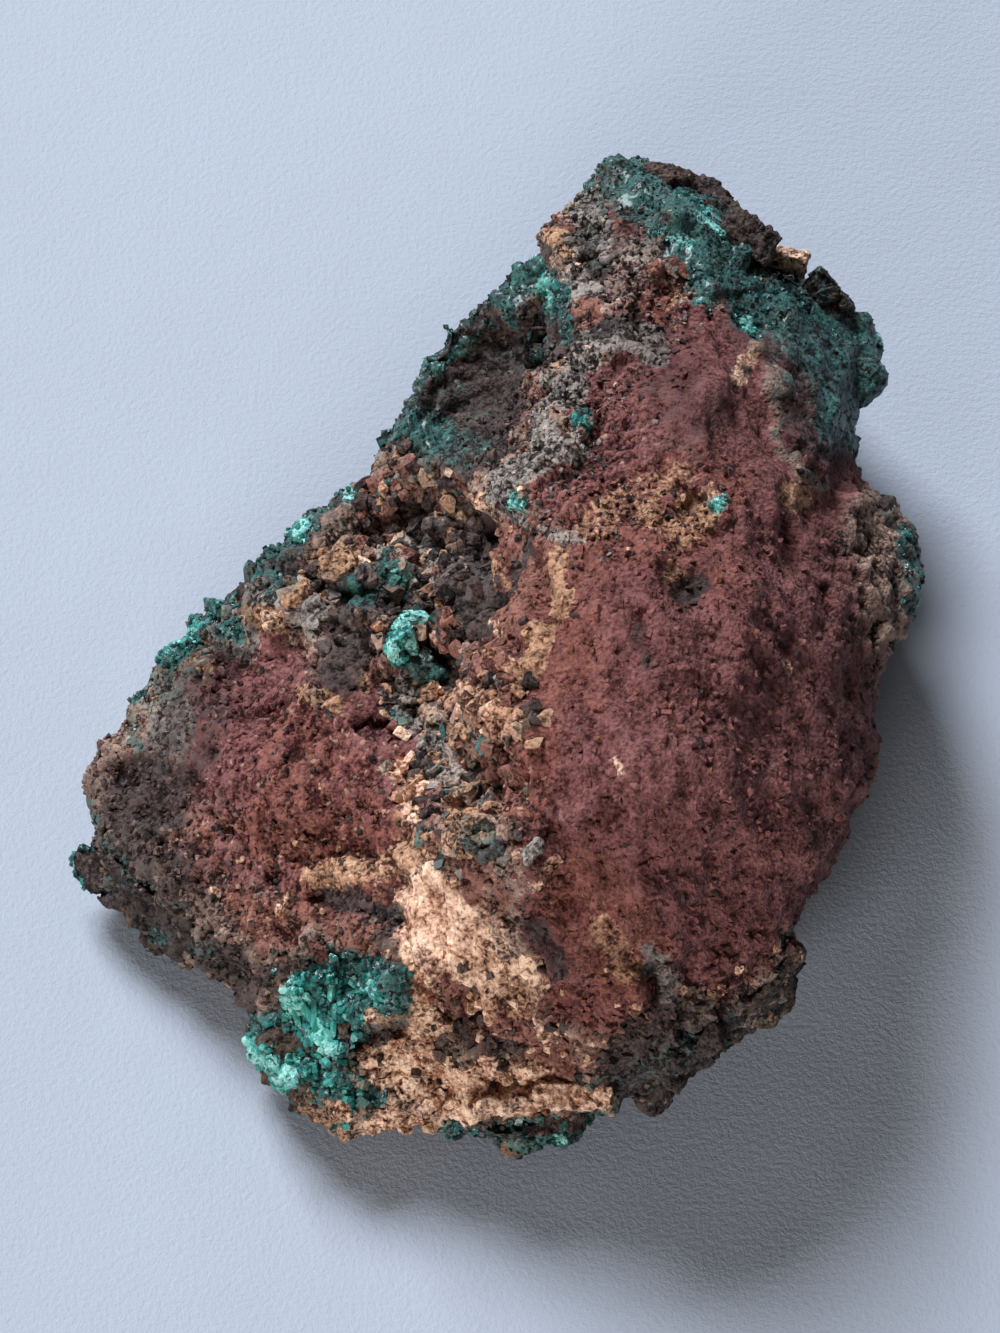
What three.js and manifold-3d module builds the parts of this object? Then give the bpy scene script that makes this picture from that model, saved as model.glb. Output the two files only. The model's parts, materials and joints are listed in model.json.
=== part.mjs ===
// A hand-sized dioptase specimen: a lump of rust-red gossan with crusts of green dioptase on its edges.
//
// Millimetres, +Z up. The stone lies on its underside, a broken flat, and its show face looks up and
// to the front (-Y). The face is laid out as a collector's eye sees it: on a sheet square to a sight
// line that comes down at SIGHT_DEG, u to the right and v up the sheet, with every height z measured
// from the surface the stone lies on.

import * as THREE from "three";
import { mergeVertices } from "three/addons/utils/BufferGeometryUtils.js";
import Module from "manifold-3d";

const wasm = await Module();
wasm.setup();

// ---- driving dimensions --------------------------------------------------------------------------

const SIGHT_DEG = 62;
const SIGHT_DISTANCE = 500; // from the eye to the middle of the sheet
const SHEET_HEIGHT = 25; // of the middle of the sheet above the ground
const CORE = new THREE.Vector2(2, -2); // the middle of the face, which every ring closes on
const FACE_DETAIL = 16; // subdivisions of the octahedron that the stone is shaped from
const SPOT_REACH = 4.2; // how far one spot height is felt over the face
const RIM_ROUNDING = 7; // higher is a tighter edge between the show face and the flank
const RIM_BLUR_DEG = 16; // the inner rings follow the rim blurred by this much
const RIM_CROWDING = 0.3; // how much closer the rings of the face lie near the rim
const FLAT_RINGS = 0.3; // share of the underside's rings that lie on the flat
const LUMP_SIZE = 9; // wavelength of the stone's knobbly surface
const LUMP_HEIGHT = 1.5;
const KNOB_LEVEL = 0.5; // where a knob's top is, against the bare surface, in lump heights
const GRIT_SIZE = 3.1;
const GRIT_HEIGHT = 1.1;
const BOULDER = { at: [18, -4], size: [19, 27], calm: 0.6 }; // where the surface is smoother, by calm
const SEAT_GAP = 0.3; // clearance between the stone and a crust that grows on it
const BED_HEIGHT = 0.6; // thickness of a crust between its small crystals
const POINT_HEIGHT = 0.8; // how far a small crystal stands above that, on average
const CRYSTAL_STRETCH = 1.15; // a crystal's length along its axis, against a cube on its corner
const CRYSTAL_LEAN = 0.35; // how far a stout crystal leans from the surface's normal
const CRYSTAL_SPREAD = 0.2; // the stout crystals' sizes differ by this share either way
const POINT_SPREAD = 0.8; // the small crystals' heights differ by this share either way
const POINT_LEAN = 0.3; // how far a small crystal's tip strays, against its height
const LONE_TILT = 0.4; // how far a lone crystal leans from upright
const LONE_NOD = 0.3; // and how far towards the front
const CRUMB_WIDTH = 1.6; // a fragment's length against its patch's size
const CRUMB_SPREAD = 0.35; // the fragments' lengths differ by this share either way
const CRUMB_DEPTH = 0.8; // a fragment's other sides against its length
const CRUMB_THICKNESS = 0.7;
const RELIEF_FADE = [0.45, 1.15]; // where a relief's full rise ends and where it is gone, by its size
const CALM_FADE = [0.7, 1.15]; // the same for the boulder's calm
const TRUE_RIM_FROM = 0.55; // the rings start to follow the true rim at this share of the way out
const FLAT_LEVEL = 0.05; // a corner of the stone below this lies on the flat
const LOWEST_RISE = 0.2; // and every other corner is at least this high
const CALM_BELOW = 4; // the knobbliness fades from this height down to the flat
const GROUND_WIDTH = 200; // of the block that trims the crusts at the ground
const GROUND_DEPTH = 20;
const TINY = 1e-9; // keeps a division or a comparison clear of rounding

// The edge of the stone as [u, v, z], anticlockwise from the right-hand side.
const RIM = [
  [38.6, 0, 21], [39.4, 4, 21], [40.6, 8, 20], [39.8, 12.5, 20], [36.6, 17.4, 20], [33.8, 20, 21],
  [32.9, 22.8, 22], [35, 26, 21], [36.3, 30, 20], [35.8, 33.4, 20], [33.5, 35.2, 21],
  [31.2, 38.2, 22], [28.6, 40.6, 22], [25.6, 43, 22], [22.4, 44.4, 23], [20.8, 47.2, 23],
  [18.4, 49, 24], [15, 49.8, 25], [11.6, 49.4, 26], [8.8, 47.2, 26], [7, 44.2, 26],
  [4.6, 41, 25], [2, 37.6, 25], [-1.4, 35.2, 24], [-5.6, 32, 23], [-9, 28.6, 22], [-10.6, 25.6, 21],
  [-11.4, 22.4, 19], [-14, 18.6, 17], [-18, 14.6, 15], [-22.6, 11.4, 14], [-27.2, 8, 13],
  [-31, 3.2, 12], [-34.2, -1, 11], [-36.4, -4.2, 10], [-38.8, -8, 9], [-41, -12.4, 8],
  [-41.6, -17, 7], [-40.8, -20.4, 6], [-38.6, -22.6, 6], [-35.4, -25, 6], [-31.8, -26.6, 6],
  [-29, -29.8, 6], [-25.4, -33.2, 6], [-23.6, -35.8, 6], [-22.6, -39.4, 5], [-19, -42.6, 5],
  [-15, -46, 4], [-8, -47, 4], [-1, -47.2, 4], [4, -47.6, 4], [7.6, -45.8, 5],
  [9.8, -43.4, 8], [15.4, -41.4, 9], [20.6, -39.4, 9], [23.4, -36.2, 10], [28, -33, 10],
  [29.6, -29.8, 11], [29.2, -26, 13], [31.6, -22.6, 15], [34.6, -17.2, 17], [37.6, -11.4, 19],
  [38.8, -6.4, 20],
];

// Heights of the show face, as [u, v, z].
const SPOTS = [
  // the boulder: the high red dome that fills the right half
  [12, 5, 46.5], [22, 4, 44.5], [30, 2, 39], [36, 1, 31], [20, -12, 43.5], [29, -12, 37],
  [10, -10, 45.5], [15, -24, 38], [24, -24, 31], [12, -34, 27], [20, -32, 25], [22, 18, 43.5],
  [32, 13, 35], [8, 20, 43.5], [20, 30, 40.5], [10, 32, 39], [2, 12, 43], [2, -2, 44],
  [2, -13, 41], [5, -24, 35],
  // the knob and its crest at the far end, and the shoulder beside it
  [11, 42, 36], [18, 43, 37.5], [24, 37, 38], [10, 47, 32], [28, 40, 29], [32, 33, 31],
  [34, 28, 27], [29, 24, 36.5],
  // the rim of the hollow, and the lip in front of it
  [-8, 30, 27], [-3, 34, 29.5], [3, 37, 32], [-7, 22, 28], [0, 24, 34], [-2, 29, 30],
  // the gully that parts the boulder from the wing
  [-6, 7, 28], [-8, -4, 26.5], [-6, -13, 28.5], [-8, 14, 26], [-14, 12, 20], [-13, 3, 24.5],
  // the wing: the low plate on the left
  [-20, 6, 20.5], [-24, -7, 20], [-15, -10, 23.5], [-28, -20, 14.5], [-18, -22, 19],
  [-36, -14, 11.5], [-30, 0, 15],
  // the pale saddle and the steep front under it
  [-6, -27, 27.5], [-12, -34, 20], [-2, -36, 22], [-10, -42, 12], [2, -43, 12.5], [-20, -36, 12],
];

// Hollows and swellings that are too tight for the spot heights. A positive rise stands up.
const RELIEF = [
  { name: "hollow", at: [-2.6, 28.6], size: [9.4, 5.4], turnDeg: 43, rise: -9 },
  { name: "gully foot", at: [-6.5, 3], size: [4.2, 12], turnDeg: 8, rise: -3 },
  { name: "gully head", at: [-9, 14.5], size: [7, 3.4], turnDeg: 35, rise: -3 },
  { name: "crest", at: [19.5, 42], size: [8.5, 2.2], turnDeg: -52, rise: 2.2 },
  { name: "shoulder knob", at: [31.5, 31], size: [5.5, 6], turnDeg: -30, rise: 1.8 },
  { name: "pocket in the boulder", at: [21, 16.5], size: [2.8, 2.4], turnDeg: 0, rise: -2 },
  { name: "dent in the front", at: [-14, -40], size: [5, 2.6], turnDeg: -20, rise: -1.6 },
];

// Ledges: the face drops by twice the drop from the left of a line to its right, and fades either side.
const LEDGES = [
  {
    name: "brow of the boulder",
    line: [[-3, -19], [-2.2, -8], [-2.4, 2], [-1.6, 11], [1, 18]],
    drop: -4.2,
    fade: 3.4,
  },
  { name: "lip over the foot", line: [[-9, -44.5], [-1, -44], [5, -43.4], [12, -42]], drop: 2.2, fade: 2.6 },
  { name: "step under the shoulder", line: [[22, 23], [27, 26.5], [33, 24]], drop: 1.5, fade: 3 },
  { name: "tan ledge", line: [[22, 42], [26, 40.6], [31, 39]], drop: -1.6, fade: 2.2 },
  { name: "wing ledge", line: [[-34, -24], [-26, -19], [-17, -15], [-12, -17]], drop: 1.1, fade: 3.4 },
  { name: "corner ledge", line: [[-22, -33], [-15, -30.5], [-9, -32]], drop: 1.8, fade: 3 },
  { name: "slab edge", line: [[13, -36], [20, -33.6], [26, -29], [29, -24]], drop: 1.9, fade: 2.6 },
  { name: "ochre ridge", line: [[-23, 4], [-18, 8.4], [-12, 11.4]], drop: 1.1, fade: 2.4 },
];

// Loose-looking fragments fused to the face: scattered over [u, v] by spread.
const CRUMBS = [
  { at: [-8.5, 6], spread: [4, 8], count: 7, size: 1.9 },
  { at: [-4, -15], spread: [3, 5], count: 4, size: 1.8 },
  { at: [-15, 9], spread: [5, 3], count: 4, size: 1.8 },
  { at: [13, 38], spread: [3.5, 4], count: 4, size: 2 },
  { at: [-4, -38], spread: [7, 4], count: 4, size: 2 },
  { at: [15, -35], spread: [6, 2.5], count: 4, size: 2.1 },
];

// Single crystals that grow from the face, as [u, v, size].
const LONE_CRYSTALS = [
  [-10, 9.1, 2.4], [-10.2, 2.6, 2.8], [-14, 7.6, 2.2], [-9, 0.4, 2], [-2, -16.4, 2.2], [8.5, 25.1, 1.8],
  [21, 17.6, 1.8],
];

// How far in from the rim the underside comes down to the flat, by bearing: [degrees, share].
const FOOT_SHARE = [
  [0, 0.58], [45, 0.56], [80, 0.48], [120, 0.6], [165, 0.66], [200, 0.6], [235, 0.66],
  [275, 0.78], [310, 0.68], [335, 0.62], [360, 0.58],
];

// Crusts of crystals. bearing is in degrees about CORE and anticlockwise from the right; reach is 0 at
// the middle of the show face, 1 on the rim and 2 at the middle of the underside. large is the share of
// the crystals that are stout ones, and size their width.
const CRUSTS = [
  { name: "hollow_dioptase_crust", bearing: [84, 117], reach: [0.68, 1.03], large: 0.2, size: 2.9 },
  { name: "crest_dioptase_crust", bearing: [58, 80], reach: [0.8, 1.02], large: 0.3, size: 2.8 },
  { name: "shoulder_dioptase_crust", bearing: [36, 54], reach: [0.76, 1.14], large: 0.2, size: 3 },
  { name: "left_rim_dioptase_crust", bearing: [131, 182], reach: [0.92, 1.12], large: 0.12, size: 2.9 },
  { name: "wing_tip_dioptase_crust", bearing: [199, 222], reach: [0.92, 1.12], large: 0.2, size: 2.7 },
  { name: "corner_dioptase_cluster", bearing: [231, 249], reach: [0.68, 1.08], large: 0.35, size: 3 },
  { name: "foot_dioptase_cluster", bearing: [262, 282], reach: [0.93, 1.12], large: 0.25, size: 2.8 },
  { name: "fringe_dark_crust", bearing: [288, 320], reach: [0.9, 1.14], large: 0.2, size: 3.2 },
  { name: "right_flank_dioptase_crust", bearing: [6, 27], reach: [0.98, 1.2], large: 0.2, size: 3 },
  { name: "back_flank_dioptase_crust", bearing: [66, 100], reach: [1.16, 1.36], large: 0.15, size: 3.2 },
];

// ---- small tools ---------------------------------------------------------------------------------

const SIGHT = THREE.MathUtils.degToRad(SIGHT_DEG);
const SHEET_UP = new THREE.Vector3(0, Math.sin(SIGHT), Math.cos(SIGHT));
const SHEET_MIDDLE = new THREE.Vector3(0, -SHEET_HEIGHT / Math.tan(SIGHT), SHEET_HEIGHT);
const EYE = new THREE.Vector3(0, -Math.cos(SIGHT), Math.sin(SIGHT))
  .multiplyScalar(SIGHT_DISTANCE)
  .add(SHEET_MIDDLE);

/** The point z above the ground on the line from the eye through (u, v) of the sheet. */
function onSightLine(u, v, z) {
  const onSheet = SHEET_MIDDLE.clone().addScaledVector(SHEET_UP, v);
  onSheet.x += u;
  return EYE.clone().lerp(onSheet, (z - EYE.z) / (onSheet.z - EYE.z));
}

/** A repeatable random number from 0 to 1 for a lattice point. */
function lattice(i, j, k) {
  const wave = Math.sin(i * 127.1 + j * 311.7 + k * 74.7) * 43758.5453;
  return wave - Math.floor(wave);
}

/** Smooth noise from -1 to 1, with one bump about every unit. */
function noise(x, y, z) {
  const cell = [x, y, z].map(Math.floor);
  const ease = [x, y, z].map((value, axis) => THREE.MathUtils.smoothstep(value - cell[axis], 0, 1));
  let sum = 0;
  for (let corner = 0; corner < 8; corner++) {
    const step = [corner & 1, (corner >> 1) & 1, corner >> 2];
    const weight = step.reduce((w, s, axis) => w * (s ? ease[axis] : 1 - ease[axis]), 1);
    sum += weight * lattice(cell[0] + step[0], cell[1] + step[1], cell[2] + step[2]);
  }
  return sum * 2 - 1;
}

/** A repeatable stream of random numbers from -1 to 1. */
function jitterFrom(seed) {
  let state = seed;
  return () => {
    state = (state * 16807) % 2147483647;
    return (state / 2147483647) * 2 - 1;
  };
}

/** Reads a list of [degrees, value] pairs at one bearing. */
function atBearing(pairs, degrees) {
  const next = pairs.findIndex(([mark]) => mark >= degrees);
  const [[fromMark, from], [toMark, to]] = [pairs[Math.max(next - 1, 0)], pairs[next]];
  return toMark === fromMark ? to : THREE.MathUtils.mapLinear(degrees, fromMark, toMark, from, to);
}

/** A closed geometry as a manifold-3d solid. */
function toSolid(geometry) {
  const bare = geometry.clone();
  for (const attribute of Object.keys(bare.attributes)) {
    if (attribute !== "position") bare.deleteAttribute(attribute);
  }
  const merged = mergeVertices(bare, 1e-3);
  return new wasm.Manifold(
    new wasm.Mesh({
      numProp: 3,
      vertProperties: merged.attributes.position.array,
      triVerts: new Uint32Array(merged.index.array),
    }),
  );
}

/** A manifold-3d solid as a geometry. */
function toGeometry(solid) {
  const mesh = solid.getMesh();
  const geometry = new THREE.BufferGeometry();
  geometry.setAttribute("position", new THREE.BufferAttribute(Float32Array.from(mesh.vertProperties), 3));
  geometry.setIndex(new THREE.BufferAttribute(Uint32Array.from(mesh.triVerts), 1));
  geometry.computeVertexNormals();
  return geometry;
}

/** The largest of the separate bodies that a solid falls into. */
function largestBody(solid) {
  return solid.decompose().reduce((largest, body) => (body.volume() > largest.volume() ? body : largest));
}

// ---- the stone -----------------------------------------------------------------------------------

/** The rim point at a bearing in degrees, found where the bearing crosses the outline. */
function crossRim(degrees) {
  const bearing = THREE.MathUtils.degToRad(degrees);
  const ray = new THREE.Vector2(Math.cos(bearing), Math.sin(bearing));
  for (let i = 0; i < RIM.length; i++) {
    const [a, b] = [RIM[i], RIM[(i + 1) % RIM.length]];
    const start = new THREE.Vector2(a[0], a[1]).sub(CORE);
    const run = new THREE.Vector2(b[0], b[1]).sub(CORE).sub(start);
    const across = ray.cross(run);
    const share = start.cross(ray) / across;
    const distance = start.cross(run) / across;
    if (share >= -TINY && share <= 1 + TINY && distance > 0) {
      return { distance, z: THREE.MathUtils.lerp(a[2], b[2], share) };
    }
  }
  throw new Error("the rim has a gap");
}

const RIM_BY_DEGREE = Array.from({ length: 360 }, (_, degrees) => crossRim(degrees + 1e-4));

/** The rim at a bearing: its true distance from CORE, that distance blurred, and its height. */
function rimAt(degrees) {
  const near = (offset) => RIM_BY_DEGREE[THREE.MathUtils.euclideanModulo(Math.round(degrees) + offset, 360)];
  let blurred = 0;
  for (let offset = -RIM_BLUR_DEG; offset <= RIM_BLUR_DEG; offset++) {
    blurred += near(offset).distance / (2 * RIM_BLUR_DEG + 1);
  }
  return { ...crossRim(degrees), blurred };
}

/** How far off a line of points a point lies, and its side: 1 on the left, -1 on the right. */
function sideOf(line, u, v) {
  let best = { off: Infinity };
  for (let i = 0; i + 1 < line.length; i++) {
    const start = new THREE.Vector2(...line[i]);
    const run = new THREE.Vector2(...line[i + 1]).sub(start);
    const arm = new THREE.Vector2(u, v).sub(start);
    const along = THREE.MathUtils.clamp(arm.dot(run) / run.lengthSq(), 0, 1);
    const side = Math.sign(run.cross(arm));
    const off = arm.addScaledVector(run, -along).length();
    if (off < best.off) best = { off, side };
  }
  return best;
}

/** Height of the show face at (u, v): the spot heights blended, and relief and ledges added. */
function faceHeight(u, v) {
  let [sum, total] = [0, TINY];
  for (const [spotU, spotV, z] of SPOTS) {
    const weight = Math.exp(-((u - spotU) ** 2 + (v - spotV) ** 2) / (2 * SPOT_REACH ** 2));
    sum += weight * z;
    total += weight;
  }
  let height = sum / total;
  for (const { at, size, turnDeg, rise } of RELIEF) {
    const local = new THREE.Vector2(u - at[0], v - at[1]);
    local.rotateAround(new THREE.Vector2(), THREE.MathUtils.degToRad(-turnDeg));
    const off = Math.hypot(local.x / size[0], local.y / size[1]);
    height += rise * (1 - THREE.MathUtils.smoothstep(off, ...RELIEF_FADE));
  }
  for (const { line, drop, fade } of LEDGES) {
    const { off, side } = sideOf(line, u, v);
    height += drop * side * Math.exp(-off / fade);
  }
  return height;
}

/** A point of the bare surface. degrees is its bearing; reach runs 0 to 1 over the face, 1 to 2 below. */
function surfaceAt(degrees, reach) {
  const rim = rimAt(degrees);
  const place = (share) => {
    const sharpness = THREE.MathUtils.smoothstep(share, TRUE_RIM_FROM, 1);
    const distance = share * THREE.MathUtils.lerp(rim.blurred, rim.distance, sharpness);
    const bearing = THREE.MathUtils.degToRad(degrees);
    return [CORE.x + distance * Math.cos(bearing), CORE.y + distance * Math.sin(bearing)];
  };
  if (reach <= 1) {
    const share = THREE.MathUtils.lerp(reach, Math.sin((reach * Math.PI) / 2), RIM_CROWDING);
    const [u, v] = place(share);
    const swell = Math.sqrt(Math.max(0, 1 - share ** RIM_ROUNDING));
    return onSightLine(u, v, rim.z + (faceHeight(u, v) - rim.z) * swell);
  }
  const foot = atBearing(FOOT_SHARE, degrees);
  const climb = ((2 - reach - FLAT_RINGS) / (1 - FLAT_RINGS)) * (Math.PI / 2);
  if (climb <= 0) return onSightLine(...place((foot * (2 - reach)) / FLAT_RINGS), 0);
  const share = THREE.MathUtils.lerp(foot, 1, Math.sin(climb));
  return onSightLine(...place(share), rim.z * (1 - Math.cos(climb)));
}

/** How calm the surface is at a point: 1 is as rough as it gets, and less on the boulder's face. */
function calmAt({ x, y, z }) {
  const v = (y - SHEET_MIDDLE.y) * Math.sin(SIGHT) + (z - SHEET_MIDDLE.z) * Math.cos(SIGHT);
  const off = Math.hypot((x - BOULDER.at[0]) / BOULDER.size[0], (v - BOULDER.at[1]) / BOULDER.size[1]);
  return 1 - BOULDER.calm * (1 - THREE.MathUtils.smoothstep(off, ...CALM_FADE));
}

/** Outward knobbliness of the stone at a point, none of it on the flat underneath. */
function roughness(point) {
  const [lump, grit] = [LUMP_SIZE, GRIT_SIZE].map((size) => point.clone().divideScalar(size));
  const knob = KNOB_LEVEL - 2 * Math.abs(noise(lump.x, lump.y, lump.z));
  const height = LUMP_HEIGHT * knob + GRIT_HEIGHT * noise(grit.x + 9, grit.y, grit.z);
  return height * calmAt(point) * THREE.MathUtils.smoothstep(point.z, 0, CALM_BELOW);
}

/**
 * The stone's closed surface, grown outwards by extra. The rings of an octahedron become the rings of
 * the stone, and userData.places keeps the bearing in degrees and the reach of each corner.
 */
function stoneGeometry(extra) {
  const octahedron = new THREE.OctahedronGeometry(1, FACE_DETAIL);
  octahedron.deleteAttribute("normal");
  octahedron.deleteAttribute("uv");
  const geometry = mergeVertices(octahedron, 1e-4);
  const position = geometry.attributes.position;
  const point = new THREE.Vector3();
  geometry.userData.places = [];
  for (let i = 0; i < position.count; i++) {
    point.fromBufferAttribute(position, i);
    const [ax, ay, az] = [point.x, point.y, point.z].map(Math.abs);
    const ring = (ax + ay) / (ax + ay + az);
    const quarter = ax + ay > 0 ? (ay / (ax + ay)) * (Math.PI / 2) : 0;
    const across = Math.cos(quarter) * Math.sign(point.x);
    const bearing = Math.atan2(Math.sin(quarter) * Math.sign(point.y), across);
    const degrees = THREE.MathUtils.euclideanModulo(THREE.MathUtils.radToDeg(bearing), 360);
    const reach = point.z >= 0 ? ring : 2 - ring;
    geometry.userData.places.push([degrees, reach]);
    point.copy(surfaceAt(degrees, reach));
    position.setXYZ(i, point.x, point.y, point.z);
  }
  geometry.computeVertexNormals();
  const normal = geometry.attributes.normal;
  const outward = new THREE.Vector3();
  for (let i = 0; i < position.count; i++) {
    point.fromBufferAttribute(position, i);
    outward.fromBufferAttribute(normal, i);
    const grown = point.clone().addScaledVector(outward, roughness(point) + extra);
    const z = point.z < FLAT_LEVEL ? -extra : Math.max(grown.z, LOWEST_RISE);
    position.setXYZ(i, grown.x, grown.y, z);
  }
  return geometry;
}

/** The point of the show face that the eye sees at (u, v) of the sheet. */
function seenAt(u, v) {
  const sight = new THREE.Raycaster(EYE, onSightLine(u, v, 0).sub(EYE).normalize());
  return sight.intersectObject(bareStone)[0].point;
}

/** Fragments of stone scattered over one patch of the face, each grown outwards by extra. */
function crumbSolids({ at, spread, count, size }, seed, extra) {
  const jitter = jitterFrom(seed);
  return Array.from({ length: count }, () => {
    const place = seenAt(at[0] + spread[0] * jitter(), at[1] + spread[1] * jitter());
    const width = CRUMB_WIDTH * size * (1 + CRUMB_SPREAD * jitter()) + 2 * extra;
    const crumb = new THREE.BoxGeometry(width, CRUMB_DEPTH * width, CRUMB_THICKNESS * width);
    crumb.rotateX(3 * jitter()).rotateY(3 * jitter()).rotateZ(3 * jitter());
    return toSolid(crumb.translate(place.x, place.y, place.z));
  });
}

/** The whole stone, its fragments and lone crystals fused on, grown outwards by extra. */
function stoneSolid(extra) {
  const crumbs = CRUMBS.flatMap((patch, i) => crumbSolids(patch, 11 + 29 * i, extra));
  const crystals = LONE_CRYSTALS.map(([u, v, size], i) => {
    const [toRight, toBack] = [Math.sin(5 * i), Math.cos(3 * i)].map((share) => LONE_TILT * share);
    const axis = new THREE.Vector3(toRight, toBack - LONE_NOD, 1).normalize();
    return crystalSolid(size + extra, seenAt(u, v), axis, i);
  });
  return largestBody(wasm.Manifold.union([toSolid(stoneGeometry(extra)), ...crumbs, ...crystals]));
}

// ---- the crystals --------------------------------------------------------------------------------

/** One stubby rhombohedral crystal: a cube stood on its corner, stretched along its axis and turned. */
function crystalSolid(size, place, axis, turn) {
  const crystal = new THREE.BoxGeometry(size, size, size);
  crystal.rotateZ(Math.PI / 4).rotateX(Math.atan(Math.SQRT2));
  crystal.scale(1, 1, CRYSTAL_STRETCH).rotateZ(turn);
  crystal.applyQuaternion(new THREE.Quaternion().setFromUnitVectors(new THREE.Vector3(0, 0, 1), axis));
  return toSolid(crystal.translate(place.x, place.y, place.z));
}

/**
 * A crust, cut clear of the stone and the ground. Each corner of the bare stone under it grows a small
 * pointed crystal, whose foot is halfway to the corners around it, and some grow a stout one as well.
 */
function crustSolid({ bearing, reach, large, size }, stoneAndGround, seed) {
  const jitter = jitterFrom(seed);
  const scatter = () => new THREE.Vector3(jitter(), jitter(), jitter());
  const within = ([low, high], value) => value >= low && value <= high;
  const { attributes, index, userData } = bareStone.geometry;
  const corners = userData.places.map(([degrees, at], i) => {
    const foot = new THREE.Vector3().fromBufferAttribute(attributes.position, i);
    const axis = new THREE.Vector3().fromBufferAttribute(attributes.normal, i);
    const covered = within(bearing, degrees) && within(reach, at);
    if (!covered) return { foot, axis, covered, tip: foot };
    const height = SEAT_GAP + BED_HEIGHT + POINT_HEIGHT * (1 + POINT_SPREAD * jitter());
    const tip = foot.clone().addScaledVector(axis, height);
    return { foot, axis, covered, tip: tip.addScaledVector(scatter(), POINT_LEAN * POINT_HEIGHT) };
  });
  const between = (one, other) => {
    const middle = one.foot.clone().lerp(other.foot, 0.5);
    const axis = one.axis.clone().add(other.axis).normalize();
    return one.covered && other.covered ? middle.addScaledVector(axis, SEAT_GAP + BED_HEIGHT) : middle;
  };
  const faces = [];
  for (let i = 0; i < index.count; i += 3) {
    const [a, b, c] = [0, 1, 2].map((k) => corners[index.getX(i + k)]);
    const [ab, bc, ca] = [between(a, b), between(b, c), between(c, a)];
    faces.push(a.tip, ab, ca, ab, b.tip, bc, ca, bc, c.tip, ab, bc, ca);
  }
  const stout = corners
    .filter(({ covered }) => covered && Math.abs(jitter()) < large)
    .map(({ foot, axis }) => {
      const lean = axis.clone().addScaledVector(scatter(), CRYSTAL_LEAN).normalize();
      return crystalSolid(size * (1 + CRYSTAL_SPREAD * jitter()), foot, lean, jitter() * Math.PI);
    });
  const druse = toSolid(new THREE.BufferGeometry().setFromPoints(faces));
  return largestBody(wasm.Manifold.union([druse, ...stout]).subtract(stoneAndGround));
}

// ---- the specimen --------------------------------------------------------------------------------

const gossan = new THREE.MeshStandardMaterial({ color: 0x6b4642, roughness: 0.95, metalness: 0 });
const dioptase = new THREE.MeshStandardMaterial({ color: 0x1f6f68, roughness: 0.3, metalness: 0 });
const darkCrust = new THREE.MeshStandardMaterial({ color: 0x2b3033, roughness: 0.6, metalness: 0 });

const specimen = new THREE.Group();

function addPiece(name, solid, material) {
  const mesh = new THREE.Mesh(toGeometry(solid), material);
  mesh.name = name;
  specimen.add(mesh);
}

const bareStone = new THREE.Mesh(stoneGeometry(0));
const ground = new THREE.BoxGeometry(GROUND_WIDTH, GROUND_WIDTH, GROUND_DEPTH);
ground.translate(0, 0, SEAT_GAP - GROUND_DEPTH / 2);
const stoneAndGround = wasm.Manifold.union([toSolid(ground), ...[0, SEAT_GAP].map(stoneSolid)]);
addPiece("gossan_matrix", stoneSolid(0), gossan);
CRUSTS.forEach((crust, i) => {
  const solid = crustSolid(crust, stoneAndGround, 101 + 37 * i);
  addPiece(crust.name, solid, crust.name.includes("dark") ? darkCrust : dioptase);
});

// The origin is the middle of the footprint, on the surface that the stone lies on.
const extent = new THREE.Box3().setFromObject(specimen);
const middle = extent.getCenter(new THREE.Vector3());
specimen.position.set(-middle.x, -middle.y, -extent.min.z);

export default specimen;
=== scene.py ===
"""A dioptase specimen: rust-red gossan with crusts of green dioptase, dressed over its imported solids.

Lengths are millimetres on the specimen and metres in Blender. The show face is laid out on a sheet
square to the collector's line of sight, u to the right and v up the sheet, as its solids are.
"""

import json
import logging
import math
from dataclasses import dataclass
from enum import Enum
from typing import Any, Callable, Optional, Sequence, Union

import bpy
import numpy as np
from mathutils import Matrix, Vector, kdtree, noise

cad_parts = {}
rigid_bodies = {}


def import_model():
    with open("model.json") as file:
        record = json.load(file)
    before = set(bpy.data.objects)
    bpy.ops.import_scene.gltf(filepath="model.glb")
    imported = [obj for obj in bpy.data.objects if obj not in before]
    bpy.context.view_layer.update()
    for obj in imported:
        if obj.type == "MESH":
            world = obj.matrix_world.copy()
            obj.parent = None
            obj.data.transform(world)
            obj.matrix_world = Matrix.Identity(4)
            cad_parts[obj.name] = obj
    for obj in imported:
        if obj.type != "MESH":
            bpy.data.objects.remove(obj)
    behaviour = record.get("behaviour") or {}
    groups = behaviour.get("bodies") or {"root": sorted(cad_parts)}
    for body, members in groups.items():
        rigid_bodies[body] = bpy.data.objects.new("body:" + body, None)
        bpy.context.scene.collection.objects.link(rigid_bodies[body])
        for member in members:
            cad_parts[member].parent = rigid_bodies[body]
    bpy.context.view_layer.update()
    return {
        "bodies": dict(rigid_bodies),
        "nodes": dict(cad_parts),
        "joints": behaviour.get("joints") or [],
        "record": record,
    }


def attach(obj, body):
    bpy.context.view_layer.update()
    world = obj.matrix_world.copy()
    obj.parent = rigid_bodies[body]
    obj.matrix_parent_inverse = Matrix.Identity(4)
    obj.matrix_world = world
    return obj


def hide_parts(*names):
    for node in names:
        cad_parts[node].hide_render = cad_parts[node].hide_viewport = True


LOG = logging.getLogger("dioptase_specimen")
MM = 0.001
BODY = "root"

Point = tuple[float, float]
Span = tuple[float, float]
Colour = tuple[float, float, float, float]

# How far apart, in metres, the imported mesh's loose corners may be and still count as one.
WELD = 1e-6
# How far each seed moves a pattern, in wavelengths.
SEED_SHIFT = np.array([7.13, 3.71, 5.47])
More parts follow.
